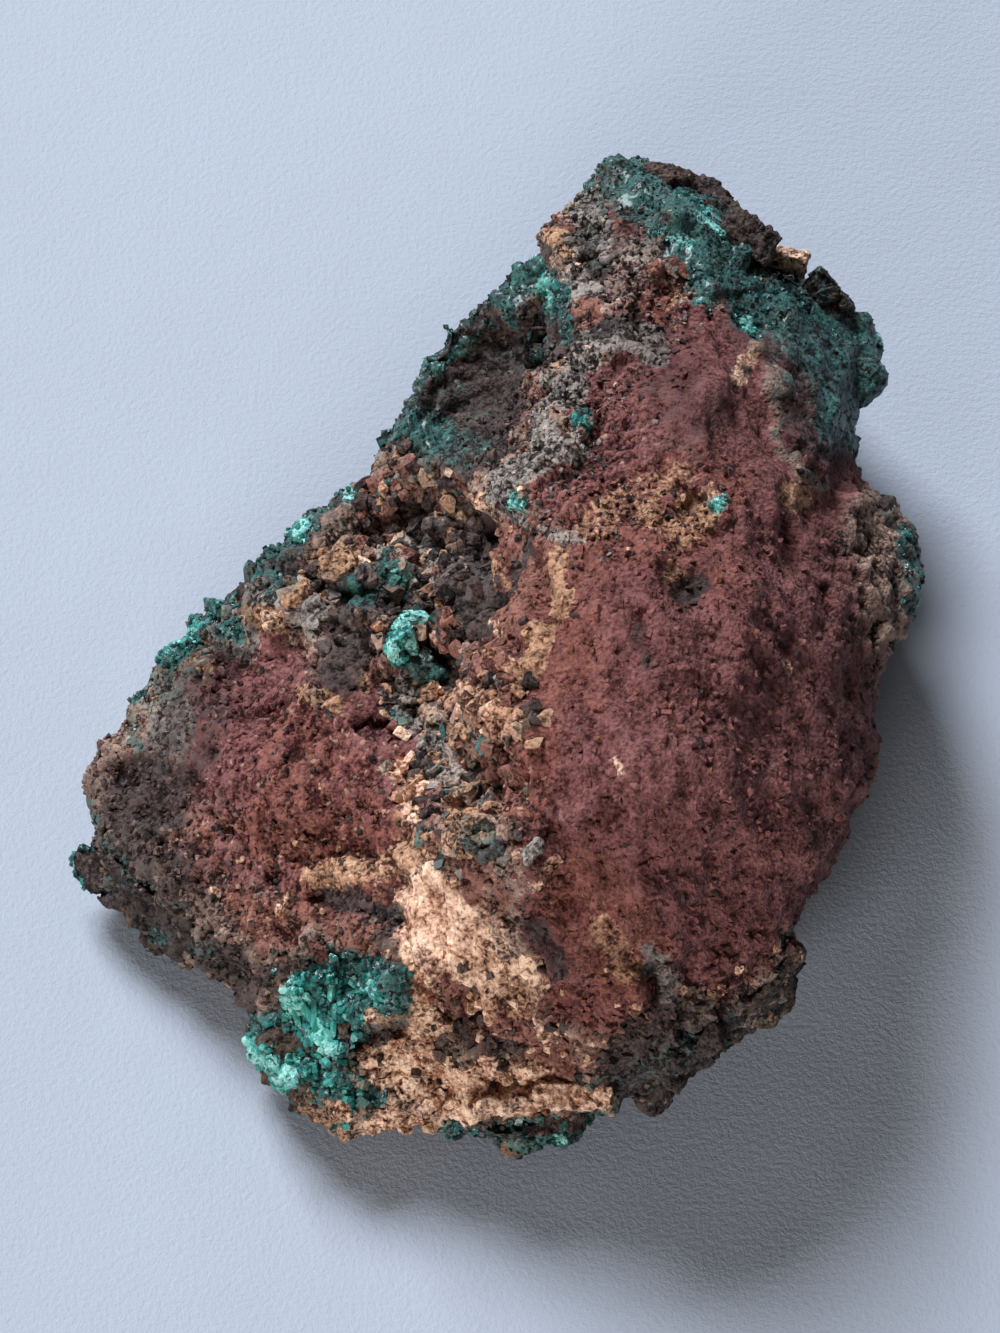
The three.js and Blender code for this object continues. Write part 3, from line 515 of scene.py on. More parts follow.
def settle(mesh: bpy.types.Mesh, points: np.ndarray) -> None:
    """Moves a mesh's vertices to points in millimetres, and those below the ground up to it."""
    points[:, 2] = np.maximum(points[:, 2], 0.0)
    mesh.vertices.foreach_set("co", (points * MM).astype(np.float32).ravel())


def apply(obj: bpy.types.Object, kind: str, **settings: Any) -> None:
    """Adds a modifier to an object and applies it.

    Args:
        obj: the object.
        kind: the modifier's type.
        settings: its values.
    """
    pick(obj)
    modifier = obj.modifiers.new(kind.lower(), kind)
    for name, value in settings.items():
        setattr(modifier, name, value)
    bpy.ops.object.modifier_apply(modifier=modifier.name)


class Skin:
    """A solid's surface, copied into a fine mesh that can be carved and toned.

    Attributes:
        obj: the object that holds the mesh.
        points: its vertices in millimetres, before any push.
        normals: the directions of the surface there.
        sheet: where each vertex shows on the sheet.
        blurred: the same, astray, where the strokes are looked up for the tones.
        seen: 1 for each vertex that shows to the eye, 0 for those that are turned away.
        rise: how far the strokes raise each vertex, in millimetres.
        marks: a value for each vertex, by name.
    """

    def __init__(
        self,
        name: str,
        solid: bpy.types.Object,
        voxel: float,
        softening: int,
        inward: Point = (0.0, 0.0),
    ) -> None:
        """Copies a solid and lays a fine even mesh over it.

        Args:
            name: the new piece's name.
            solid: the node that is copied.
            voxel: the spacing of the new mesh in millimetres.
            softening: how many times the facets are smoothed.
            inward: how far it is brought in from the outline, along u and v.
        """
        self.obj = placed(name, solid.data.copy())
        self.obj.data.name = name
        self.obj.data.materials.clear()
        pick(self.obj)
        bpy.ops.object.mode_set(mode="EDIT")
        bpy.ops.mesh.select_all(action="SELECT")
        bpy.ops.mesh.remove_doubles(threshold=WELD)
        bpy.ops.object.mode_set(mode="OBJECT")
        apply(self.obj, "REMESH", mode="VOXEL", voxel_size=voxel * MM)
        apply(self.obj, "SMOOTH", factor=0.5, iterations=softening)
        count = len(self.obj.data.vertices)
        shift = np.array([inward[0], 0, 0])
        self.points = self._read("vertices", "co", count) / MM + shift + inward[1] * SIGHT.up
        self.normals = self._read("vertex_normals", "vector", count)
        self.marks: dict[str, np.ndarray] = {}
        self._place()

    def _read(self, rows: str, key: str, count: int) -> np.ndarray:
        """Reads vectors from one of the mesh's collections."""
        values = np.empty(count * 3, np.float32)
        getattr(self.obj.data, rows).foreach_get(key, values)
        return values.reshape(-1, 3).astype(float)

    def _place(self) -> None:
        """Works out where the vertices show on the sheet, and which are turned to the eye."""
        self.sheet = SIGHT.on_sheet(self.points)
        self.blurred = self.sheet
        for strength, size in EDGE_STRAY:
            stray = [grain(self.points, size, Grain.SOFT, seed) for seed in (41, 42)]
            self.blurred = self.blurred + strength * np.stack(stray, axis=1)
        facing = SIGHT.faces_eye(self.points, self.normals)
        self.seen = ramp(facing, *SHOWS)
        self.rise = laid(Zone.RISE, self.sheet) * ramp(facing, *RISES)

    def push(self, height: np.ndarray) -> None:
        """Moves the vertices along the surface's normals, and keeps them above the ground.

        Args:
            height: how far each goes, in millimetres.
        """
        clear = ramp(self.points[:, 2], *GROUND_FADE)
        self.points = self.points + self.normals * (height * clear)[:, None]
        settle(self.obj.data, self.points)
        self.obj.data.update()
        self.normals = self._read("vertex_normals", "vector", len(self.points))

    def tone(self, hidden: dict[Zone, np.ndarray]) -> None:
        """Lays the strokes on the side that shows, and other tones on the sides that don't.

        Args:
            hidden: the cover of each zone away from the eye.
        """
        nothing = np.zeros(len(self.points))
        for zone in TONES:
            away = hidden.get(zone, nothing)
            self.marks[zone.value] = laid(zone, self.blurred) * self.seen + away * (1.0 - self.seen)

    def finish(self) -> None:
        """Stores the marks on the mesh as attributes and shades it smooth."""
        write_marks(self.obj.data, self.marks)
        pick(self.obj)
        bpy.ops.object.shade_smooth()

    def seats(self, density: np.ndarray, seed: int) -> "Seats":
        """Picks places on the surface by chance.

        Args:
            density: how many are wanted on a square millimetre, for each vertex.
            seed: for the draw.

        Returns:
            The places.
        """
        mesh = self.obj.data
        mesh.calc_loop_triangles()
        corners = np.empty(len(mesh.loop_triangles) * 3, np.int32)
        mesh.loop_triangles.foreach_get("vertices", corners)
        corners = corners.reshape(-1, 3)
        a, b, c = (self.points[corners[:, i]] for i in range(3))
        area = np.linalg.norm(np.cross(b - a, c - a), axis=1) / 2.0
        wanted = area * density[corners].mean(axis=1)
        dice = np.random.default_rng(seed)
        chosen = dice.choice(len(corners), int(wanted.sum()), p=wanted / wanted.sum())
        share = dice.dirichlet((1.0, 1.0, 1.0), len(chosen))
        places = np.einsum("ni,nij->nj", share, self.points[corners[chosen]])
        nearest = corners[chosen, np.argmax(share, axis=1)]
        marks = {name: values[nearest] for name, values in self.marks.items()}
        return Seats(places, self.normals[nearest], marks, dice)


def write_marks(mesh: bpy.types.Mesh, marks: dict[str, np.ndarray]) -> None:
    """Stores a value for each vertex under each name.

    Args:
        mesh: the mesh.
        marks: the values by name.
    """
    for name, values in marks.items():
        made = mesh.attributes.new(name, "FLOAT", "POINT")
        made.data.foreach_set("value", np.clip(values, 0.0, 1.0).astype(np.float32))


@dataclass
class Seats:
    """Places on a surface where small forms sit.

    Attributes:
        places: in millimetres.
        normals: the surface's directions there.
        marks: the surface's marks there.
        dice: the random numbers that go on being drawn for them.
    """

    places: np.ndarray
    normals: np.ndarray
    marks: dict[str, np.ndarray]
    dice: np.random.Generator


# ---- small forms, modelled once and strewn ---------------------------------------------------------


@dataclass(frozen=True)
class Cast:
    """A small closed form about one unit across, as corners and faces."""

    corners: np.ndarray
    faces: tuple[tuple[int, ...], ...]

    @classmethod
    def taken(cls) -> "Cast":
        """Takes the form from the active object, and removes the object."""
        obj = bpy.context.object
        mesh = obj.data
        corners = np.array([vertex.co for vertex in mesh.vertices])
        faces = tuple(tuple(face.vertices) for face in mesh.polygons)
        bpy.data.objects.remove(obj)
        bpy.data.meshes.remove(mesh)
        return cls(corners, faces)


def cut(through: Sequence[float], outward: Sequence[float]) -> None:
    """Cuts off what lies beyond a plane of the form in edit mode, and closes the cut.

    Args:
        through: a point on the plane.
        outward: the plane's direction.
    """
    bpy.ops.mesh.select_all(action="SELECT")
    bpy.ops.mesh.bisect(plane_co=through, plane_no=outward, use_fill=True, clear_outer=True)


def crystal_cast(length: float, tip: float, lean: float) -> Cast:
    """A dioptase crystal: a six-sided prism under the three faces of a rhombohedron.

    Args:
        length: of the whole crystal, where its width is 1.
        tip: how far the tip stands above the cuts' meeting with the prism's edges.
        lean: how far the tip is off the axis.

    Returns:
        The form, growing up from its origin.
    """
    bpy.ops.mesh.primitive_cylinder_add(vertices=6, radius=0.5, depth=length, location=(0, 0, length / 2))
    bpy.ops.object.transform_apply(location=True, rotation=False, scale=False)
    bpy.ops.object.mode_set(mode="EDIT")
    for turn in range(3):
        bearing = math.radians(120 * turn + 30)
        cut((lean, 0, length - 0.02), (math.cos(bearing) * tip, math.sin(bearing) * tip, 1))
    bpy.ops.object.mode_set(mode="OBJECT")
    return Cast.taken()


def crumb_cast(seed: int, blows: int = 9, depth: Span = (0.3, 0.48)) -> Cast:
    """A broken crumb of stone: a block with pieces struck off it.

    Args:
        seed: for the blows.
        blows: how many there are.
        depth: how near to the middle they cut, at the least and at the most.

    Returns:
        The form, about its origin.
    """
    dice = np.random.default_rng(seed)
    bpy.ops.mesh.primitive_cube_add(size=1.0)
    bpy.ops.object.mode_set(mode="EDIT")
    bpy.ops.transform.resize(value=tuple(dice.uniform(0.6, 1.1, 3)))
    for _ in range(blows):
        blow = dice.normal(size=3)
        blow /= np.linalg.norm(blow)
        cut(tuple(blow * dice.uniform(*depth)), tuple(blow))
    bpy.ops.object.mode_set(mode="OBJECT")
    return Cast.taken()


def axes_over(normals: np.ndarray, tilt: float, dice: np.random.Generator) -> np.ndarray:
    """Turned frames whose third axis stands on a surface.

    Args:
        normals: the surface's directions.
        tilt: how far the axes stray from them.
        dice: random numbers.

    Returns:
        A rotation matrix for each.
    """
    count = len(normals)
    up = normals + tilt * dice.normal(size=(count, 3))
    up /= np.linalg.norm(up, axis=1, keepdims=True)
    side = np.cross(up, dice.normal(size=(count, 3)))
    side /= np.linalg.norm(side, axis=1, keepdims=True)
    return np.stack([side, np.cross(up, side), up], axis=2)


def strewn(
    name: str, casts: Sequence[Cast], seats: Seats, sizes: np.ndarray, sink: float, tilt: float
) -> bpy.types.Object:
    """Joins many copies of small forms into one piece.

    Args:
        name: the piece's name.
        casts: the forms, used in turn.
        seats: where the copies sit.
        sizes: the scale of each copy along its own three axes, in millimetres.
        sink: how deep a copy sits, as a share of its third size.
        tilt: how far its axis strays from the surface's normal.

    Returns:
        The piece, with the marks of its seats.
    """
    turns = axes_over(seats.normals, tilt, seats.dice)
    feet = seats.places - turns[:, :, 2] * (sizes[:, 2] * sink)[:, None]
    turn_for = np.arange(len(feet)) % len(casts)
    corners, links, starts, owners, filled, made = [], [], [], [], 0, 0
    for index, cast in enumerate(casts):
        mine = np.flatnonzero(turn_for == index)
        shaped = cast.corners[None, :, :] * sizes[mine][:, None, :]
        copies = np.einsum("nij,nkj->nki", turns[mine], shaped) + feet[mine][:, None, :]
        flat = np.concatenate([np.array(face) for face in cast.faces])
        lengths = np.array([len(face) for face in cast.faces])
        first = np.concatenate([[0], np.cumsum(lengths)[:-1]])
        offsets = made + np.arange(len(mine)) * len(cast.corners)
        corners.append(copies.reshape(-1, 3))
        links.append((flat[None, :] + offsets[:, None]).ravel())
        starts.append((first[None, :] + filled + np.arange(len(mine))[:, None] * len(flat)).ravel())
        owners.append(np.repeat(mine, len(cast.corners)))
        made += len(mine) * len(cast.corners)
        filled += len(mine) * len(flat)
    mesh = bpy.data.meshes.new(name)
    mesh.vertices.add(made)
    settle(mesh, np.concatenate(corners))
    mesh.loops.add(filled)
    mesh.loops.foreach_set("vertex_index", np.concatenate(links).astype(np.int32))
    begins = np.concatenate(starts).astype(np.int32)
    mesh.polygons.add(len(begins))
    mesh.polygons.foreach_set("loop_start", begins)
    mesh.update(calc_edges=True)
    mesh.validate()
    mesh.shade_flat()
    owner = np.concatenate(owners)
    write_marks(mesh, {key: values[owner] for key, values in seats.marks.items()})
    return placed(name, mesh)


# ---- shader maths ----------------------------------------------------------------------------------


class Wire:
    """A shader socket that takes part in arithmetic: an expression adds its Math nodes."""

    def __init__(self, bench: "Bench", socket: bpy.types.NodeSocket) -> None:
        """Holds an output socket of a bench."""
        self.bench = bench
        self.socket = socket

    def _math(self, operation: str, first: "Value", second: "Value") -> "Wire":
        """One Math node."""
        return self.bench.node("ShaderNodeMath", {"operation": operation}, {0: first, 1: second})

    def __add__(self, other: "Value") -> "Wire":
        """The sum."""
        return self._math("ADD", self, other)

    def __sub__(self, other: "Value") -> "Wire":
        """The difference."""
        return self._math("SUBTRACT", self, other)

    def __rsub__(self, other: "Value") -> "Wire":
        """The difference from a number."""
        return self._math("SUBTRACT", other, self)

    def __mul__(self, other: "Value") -> "Wire":
        """The product."""
        return self._math("MULTIPLY", self, other)

    __radd__ = __add__
    __rmul__ = __mul__

    def between(self, low: float, high: float) -> "Wire":
        """A smooth rise from 0 at low to 1 at high."""
        settings = {"interpolation_type": "SMOOTHSTEP"}
        return self.bench.node("ShaderNodeMapRange", settings, {0: self, 1: low, 2: high})


Value = Union[Wire, float, Colour]


class Bench:
    """A material under construction."""

    def __init__(self, name: str) -> None:
        """Starts an empty material of that name."""
        self.material = bpy.data.materials.new(name)
        self.material.use_nodes = True
        self.tree = self.material.node_tree
        self.tree.nodes.clear()
        place = self.node("ShaderNodeTexCoord", output="Object")
        self.place = self.node("ShaderNodeVectorMath", {"operation": "SCALE"}, {0: place, "Scale": 1 / MM})

    def node(
        self,
        kind: str,
        settings: Optional[dict[str, Any]] = None,
        sockets: Optional[dict[Union[int, str], Value]] = None,
        output: Union[int, str] = 0,
    ) -> Wire:
        """Makes one node.

        Args:
            kind: its type.
            settings: its own properties, or stops for a colour ramp.
            sockets: the value or link of each of its inputs.
            output: which of its outputs is wanted.

        Returns:
            That output.
        """
        made = self.tree.nodes.new(kind)
        for key, value in (settings or {}).items():
            if key == "stops":
                for spare in range(len(value) - 2):
                    made.color_ramp.elements.new(0.5 + 0.01 * spare)
                for element, (position, colour) in zip(made.color_ramp.elements, value):
                    element.position = position
                    element.color = colour
            else:
                setattr(made, key, value)
        for key, value in (sockets or {}).items():
            if isinstance(value, Wire):
                self.tree.links.new(value.socket, made.inputs[key])
            else:
                made.inputs[key].default_value = value
        return Wire(self, made.outputs[output])

    def mark(self, name: str) -> Wire:
        """A value that the mesh carries."""
        return self.node("ShaderNodeAttribute", {"attribute_name": name}, output="Fac")

    def cloud(self, size: float, detail: float = 2.0, roughness: float = 0.55) -> Wire:
        """Soft noise about 0, mostly within a half of it, with a wavelength in millimetres."""
        sockets = {"Vector": self.place, "Scale": 1 / size, "Detail": detail, "Roughness": roughness}
        return (self.node("ShaderNodeTexNoise", {}, sockets) - 0.5) * 2.6

    def cells(self, size: float, output: str) -> Wire:
        """Cells of a width in millimetres: their colour or the distance from their middles."""
        sockets = {"Vector": self.place, "Scale": 1 / size}
        return self.node("ShaderNodeTexVoronoi", {}, sockets, output)

    def chance(self, size: float) -> Wire:
        """A number from 0 to 1 for each cell of a width in millimetres."""
        return self.node("ShaderNodeSeparateColor", {}, {0: self.cells(size, "Color")})

    def blend(self, share: Value, under: Value, over: Value) -> Wire:
        """Lays one colour over another.

        Args:
            share: how much of the upper one shows.
            under: the lower colour.
            over: the upper colour.

        Returns:
            The mixed colour.
        """
        return self.node("ShaderNodeMix", {"data_type": "RGBA"}, {0: share, 6: under, 7: over}, 2)

    def surface(
        self, sockets: dict[Union[int, str], Value], height: Wire, depth: float
    ) -> bpy.types.Material:
        """Ends the material with its surface.

        Args:
            sockets: the surface shader's inputs.
            height: the fine relief, about 0 to 1.
            depth: how high 1 stands, in millimetres.

        Returns:
            The material.
        """
        normal = self.node("ShaderNodeBump", {}, {"Strength": 1.0, "Distance": depth * MM, "Height": height})
        shader = self.node("ShaderNodeBsdfPrincipled", {}, {**sockets, "Normal": normal})
        out = self.tree.nodes.new("ShaderNodeOutputMaterial")
        self.tree.links.new(shader.socket, out.inputs["Surface"])
        return self.material


def tint(red: float, green: float, blue: float) -> Colour:
    """An opaque colour, from linear values."""
    return (red, green, blue, 1.0)


@dataclass(frozen=True)
class RockFinish:
    """Gossan and the mineral films on it, toned by the marks of the mesh, with painted shade in the hollows
    of its grain and painted light on its raised grain.

    Attributes:
        name: the material's name.
        brown: the stone's own dark and light brown.
        bloom: the dark and light of the velvety red bloom.
        pale: cream clay, ochre, grey rock, dark stain with painted shade, and dioptase film follow in the
            same way.
        relief: the height of the fine grain in millimetres.
    """

    name: str
    brown: tuple[Colour, Colour] = (tint(0.018, 0.009, 0.007), tint(0.39, 0.252, 0.2))
    bloom: tuple[Colour, Colour] = (tint(0.045, 0.007, 0.008), tint(0.235, 0.085, 0.084))
    rust: tuple[Colour, Colour] = (tint(0.055, 0.011, 0.009), tint(0.275, 0.104, 0.077))
    pale: tuple[Colour, Colour] = (tint(0.3, 0.11, 0.055), tint(1.0, 0.69, 0.5))
    ochre: tuple[Colour, Colour] = (tint(0.07, 0.026, 0.013), tint(0.58, 0.33, 0.2))
    grey: tuple[Colour, Colour] = (tint(0.012, 0.011, 0.011), tint(0.35, 0.32, 0.29))
    dark: tuple[Colour, Colour] = (tint(0.006, 0.005, 0.006), tint(0.07, 0.053, 0.052))
    teal: tuple[Colour, Colour] = (tint(0.003, 0.014, 0.014), tint(0.04, 0.15, 0.138))
    bright: tuple[Colour, Colour] = (tint(0.01, 0.17, 0.15), tint(0.34, 0.76, 0.7))
    relief: float = 0.3

    def build(self) -> bpy.types.Material:
        """Makes the material.

        Returns:
            The material.
        """
        bench = Bench(self.name)
        broad = bench.cloud(5.0, 2.0)
        middle = bench.cloud(2.0, 6.0, 0.65)
        fine = bench.cloud(0.5, 4.0, 0.65)
        speck = bench.chance(0.34) - 0.5
        crumb = bench.chance(0.75) - 0.5
        stray = 1 + middle * 0.8 + fine * 0.45 + speck * 0.4
        light = middle * 0.4 + fine * 0.65 + speck * 0.5 + crumb * 0.25 + broad * 0.15
        # The relief mark makes raised grain lighter and hollows darker: painted light and painted shade.
        light = light + bench.mark("relief") * 0.9 + bench.mark("tone") * 0.7 - 0.8
        light = light * (1.45 - bench.mark("calm") * 0.5) + 0.5
        colour: Value = bench.blend(light, *self.brown)
        for zone, pair, share in (
            (Zone.BLOOM, self.bloom, 0.9),
            (Zone.RUST, self.rust, 0.8),
            (Zone.GREY, self.grey, 0.85),
            (Zone.OCHRE, self.ochre, 0.85),
            (Zone.PALE, self.pale, 0.95),
            (Zone.DARK, self.dark, 0.9),
        ):
            soft = zone is Zone.PALE
            patch = (bench.mark(zone.value) * stray).between(0.25, 0.95 if soft else 0.62)
            shade = light * 0.7 + middle * 0.4 + broad * 0.4 + 0.1 if soft else light
            colour = bench.blend(patch * share, colour, bench.blend(shade, *pair))
        fleck = bench.chance(0.42).between(0.96, 0.99) * (1 - bench.mark("calm"))
        fleck = fleck * (1 - bench.mark("dark") * 0.8)
        colour = bench.blend(fleck * 0.3, colour, self.pale[1])
        film = (bench.mark("teal") * stray).between(0.3, 0.75)
        colour = bench.blend(film * 0.9, colour, bench.blend(light, *self.teal))
        glow = (bench.mark("bright") * stray).between(0.3, 0.8)
        colour = bench.blend(glow * 0.9, colour, bench.blend(light, *self.bright))
        # Dark pits: random dark blotches, with painted shade deepened in the hollows where the relief is low.
        pit_shade = 0.15 - middle * 0.7 - fine * 0.7 - bench.mark("relief") * 0.4 - bench.mark("calm") * 0.12
        pit_shade = pit_shade.between(0.1, 0.55) * (0.8 - bench.mark("pale") * 0.5)
        colour = bench.blend(pit_shade, colour, self.brown[0])
        height = fine * 0.35 + middle * 0.35
        height = height - bench.cells(0.42, "Distance") * 0.5 - bench.cells(1.1, "Distance") * 0.4
        height = height * (1 - bench.mark("calm") * 0.15)
        sockets = {
            "Base Color": colour,
            "Roughness": 0.9 - film * 0.4,
            "Specular IOR Level": 0.2,
            "Coat Weight": film * 0.3,
            "Coat Roughness": 0.2,
        }
        return bench.surface(sockets, height, self.relief)


@dataclass(frozen=True)
class DioptaseFinish:
    """Glassy dioptase, from near black to pale turquoise by the tone of each crystal."""

    name: str = "dioptase"
    stops: tuple[tuple[float, Colour], ...] = (
        (0.0, tint(0.004, 0.009, 0.01)),
        (0.3, tint(0.008, 0.048, 0.046)),
        (0.55, tint(0.035, 0.22, 0.2)),
        (0.8, tint(0.075, 0.42, 0.36)),
        (1.0, tint(0.36, 0.74, 0.67)),
    )
    dust: Colour = tint(0.1, 0.085, 0.075)

    def build(self) -> bpy.types.Material:
        """Makes the material.

        Returns:
            The material.
        """
        bench = Bench(self.name)
        veil = bench.cloud(1.2, 4.0, 0.65)
        tone = bench.mark("tone") + veil * 0.25
        colour = bench.node("ShaderNodeValToRGB", {"stops": self.stops}, {0: tone})
        # Dust, heavier where the dark mark lies, which also carries painted shade; it browns and dulls the
        # crystals.
        dust_and_shade = (bench.mark("dark") * 0.9 + veil * 0.6).between(0.3, 1.0)
        sockets = {
            "Base Color": bench.blend(dust_and_shade * 0.6, colour, self.dust),
            "Roughness": 0.2 + dust_and_shade * 0.4,
            "Specular IOR Level": 0.35,
            "Transmission Weight": 0.2,
        }
        return bench.surface(sockets, bench.cloud(0.25, 2.0), 0.03)


# ---- the specimen ----------------------------------------------------------------------------------


SIGHT = Sight()


@dataclass
class Gossan:
    """The stone itself.

    Attributes:
        node: the solid that it is made from.
        voxel: the spacing of its mesh in millimetres.
        softening: how many times the solid's facets are smoothed.
        seam: how far from a crust its own darker, raised edge starts to fade and where it ends.
    """

    node: str = "gossan_matrix"
    voxel: float = 0.515
    softening: int = 18
    seam: Span = (0.4, 2.0)

    def carve(self, solid: bpy.types.Object, crusts: Sequence[Skin]) -> Skin:
        """Makes the stone's skin: carved, broken and grained, and grown up to the crusts on it.

        Args:
            solid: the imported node.
            crusts: the skins of the crusts.

        Returns:
            The skin.
        """
        skin = Skin("gossan_stone", solid, self.voxel, self.softening)
        calm = laid(Zone.CALM, skin.blurred) * skin.seen
        rough = 1.0 - 0.78 * calm
        points = skin.points
        slant = points @ np.array([[0.9, -0.3, 0.1], [0.36, 0.28, -0.1], [0.0, 0.1, 0.6]])
        swell = (0.4 + 0.4 * calm) * grain(points, 6.0, Grain.SOFT, 1)
        fine = layered(points, (0.6 * rough, 3.1, Grain.FACET, 2), (0.36 * rough, 1.7, Grain.FACET, 3))
        fine += 0.36 * calm * grain(slant, 3.2, Grain.RIDGED, 4)
        fine += (0.22 - 0.1 * calm) * grain(points, 1.1, Grain.SOFT, 5)
        fine += (0.14 - 0.06 * calm) * grain(points, 0.9, Grain.FACET, 11)
        fine -= 0.7 * rough * ramp(grain(points, 2.4, Grain.SOFT, 6), 0.34, 0.6)
        seam = 1.0 - ramp(self.reach_of(points, crusts), *self.seam)
        skin.push(skin.rise + swell + fine + 0.55 * seam)
        # The carved height, which the finish turns into painted shade in the hollows and painted light on the
        # crests.
        skin.marks["relief"] = 0.5 + 0.5 * fine
        skin.marks["tone"] = np.full(len(points), 0.5)
        broad = grain(points, 14.0, Grain.SOFT, 7)
        veins = grain(points, 9.0, Grain.SOFT, 8)
        skin.tone({
            Zone.BLOOM: ramp(broad, -0.1, 0.25) * 0.8,
            Zone.RUST: ramp(-broad, 0.0, 0.3) * 0.5,
            Zone.GREY: ramp(veins, 0.1, 0.4) * 0.7,
            Zone.DARK: ramp(-veins, 0.15, 0.5) * 0.6,
            Zone.OCHRE: ramp(grain(points, 6.0, Grain.SOFT, 9), 0.3, 0.5) * 0.6,
            Zone.TEAL: ramp(grain(points, 8.0, Grain.SOFT, 10), 0.35, 0.6) * 0.7,
        })
        for zone in (Zone.DARK, Zone.TEAL):
            skin.marks[zone.value] = np.maximum(skin.marks[zone.value], 0.4 * seam)
        for zone in (Zone.BLOOM, Zone.RUST):
            skin.marks[zone.value] *= 1.0 - 0.8 * seam
        skin.marks["calm"] = calm * (1.0 - seam)
        skin.finish()
        return skin

    def reach_of(self, points: np.ndarray, crusts: Sequence[Skin]) -> np.ndarray:
        """How far each place is from the nearest crust, in millimetres."""
        others = np.concatenate([crust.points for crust in crusts])
        tree = kdtree.KDTree(len(others))
        for index, place in enumerate(others.tolist()):
            tree.insert(place, index)
        tree.balance()
        return np.array([tree.find(place)[2] for place in points.tolist()])


@dataclass(frozen=True)
class Crust:
    """A crust of crystals on the stone.

    Attributes:
        node: the solid that it is made from.
        slot: the record's material.
        film: how much dioptase coats the rock between its crystals.
        stain: how dark that rock is.
        tone: the mean tone of its crystals.
        width: the narrowest and widest crystals in millimetres.
        density: crystals on a square millimetre.
        voxel: the spacing of its mesh in millimetres.
        softening: how many times the solid's facets are smoothed.
        inward: how far it is brought in from the outline, along u and v.
    """

    node: str
    slot: str = "dioptase"
    film: float = 0.6
    stain: float = 0.5
    tone: float = 0.4
    width: Span = (0.2, 0.6)
    density: float = 3.0
    voxel: float = 0.36
    softening: int = 8
    inward: Point = (0.0, 0.0)

    @property
    def title(self) -> str:
        """What the crust's pieces are named after."""
        return self.node.replace("_crust", "").replace("_cluster", "")

    def bed(self, solid: bpy.types.Object, seed: int) -> Skin:
        """Makes the crust's skin.

        Args:
            solid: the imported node.
            seed: for its grain.

        Returns:
            The skin.
        """
        skin = Skin(self.title + "_bed", solid, self.voxel, self.softening, self.inward)
        points = skin.points
        calm = 1.0 - 0.6 * laid(Zone.CALM, skin.blurred) * skin.seen
        fine = layered(
            points,
            (0.34 * calm, 2.2, Grain.FACET, seed),
            (0.14, 0.9, Grain.FACET, seed + 1),
            (0.16, 1.2, Grain.SOFT, seed + 3),
        )
        skin.push(skin.rise + fine)
        patches = 0.5 + 0.9 * grain(points, 3.2, Grain.SOFT, seed + 2)
        film = (1.0 - 0.6 * skin.seen) * self.film * ramp(patches, 0.3, 0.9)
        stain = self.stain * ramp(1 - patches, 0.1, 0.8)
        even = np.ones(len(points))
        skin.tone({Zone.GREY: 0.3 * even, Zone.TEAL: 0.9 * ramp(patches, 0.3, 0.8), Zone.RUST: 0.4 * even})
        marks = skin.marks
        marks["teal"] = np.maximum(marks["teal"], film)
        stain = stain * (1.0 - marks["pale"]) * (1.0 - 0.6 * marks["bright"])
        marks["dark"] = np.maximum(marks["dark"], stain)
        marks["relief"] = 0.5 + 0.6 * fine
        marks["tone"] = 0.5 * even
        marks["calm"] = 0.0 * even
        skin.finish()
        return skin

    def grow(self, skin: Skin, casts: Sequence[Cast], seed: int) -> bpy.types.Object:
        """Grows the crystals on the crust's skin.

        Args:
            skin: the crust's skin.
            casts: the crystal forms.
            seed: for the draws.

        Returns:
            The crystals joined in one piece.
        """
        cover = ramp(skin.marks["teal"] + 0.4 * grain(skin.points, 2.0, Grain.SOFT, seed), 0.3, 0.8)
        seats = skin.seats(self.density * (0.03 + 0.97 * cover) * (1.0 - 0.9 * skin.marks["pale"]), seed)
        return crystals_on(self.title + "_crystals", seats, casts, self.tone, self.width)


def crystals_on(
    name: str, seats: Seats, casts: Sequence[Cast], tone: float, width: Span
) -> bpy.types.Object:
    """Grows crystals on their seats.

    Args:
        name: the piece's name.
        seats: where they grow.
        casts: the crystal forms.
        tone: their mean tone.
        width: the narrowest and widest in millimetres.

    Returns:
        The crystals joined in one piece.
    """
    count = len(seats.places)
    across = width[0] + (width[1] - width[0]) * (1 - seats.dice.power(0.5, count))
    length = across * seats.dice.uniform(0.8, 1.7, count)
    marks = seats.marks
    patches = grain(seats.places, 2.6, Grain.SOFT, 30)
    drift = 0.1 * seats.dice.normal(size=count) + 0.3 * patches
    # Crystals are darker under the dark mark, which carries dark stain and painted shade.
    seats.marks["tone"] = tone + 0.42 * marks["bright"] - 0.16 * marks["dark"] + drift
    sizes = np.stack([across, across, length], axis=1)
    return strewn(name, casts, seats, sizes, sink=0.6, tilt=0.6)


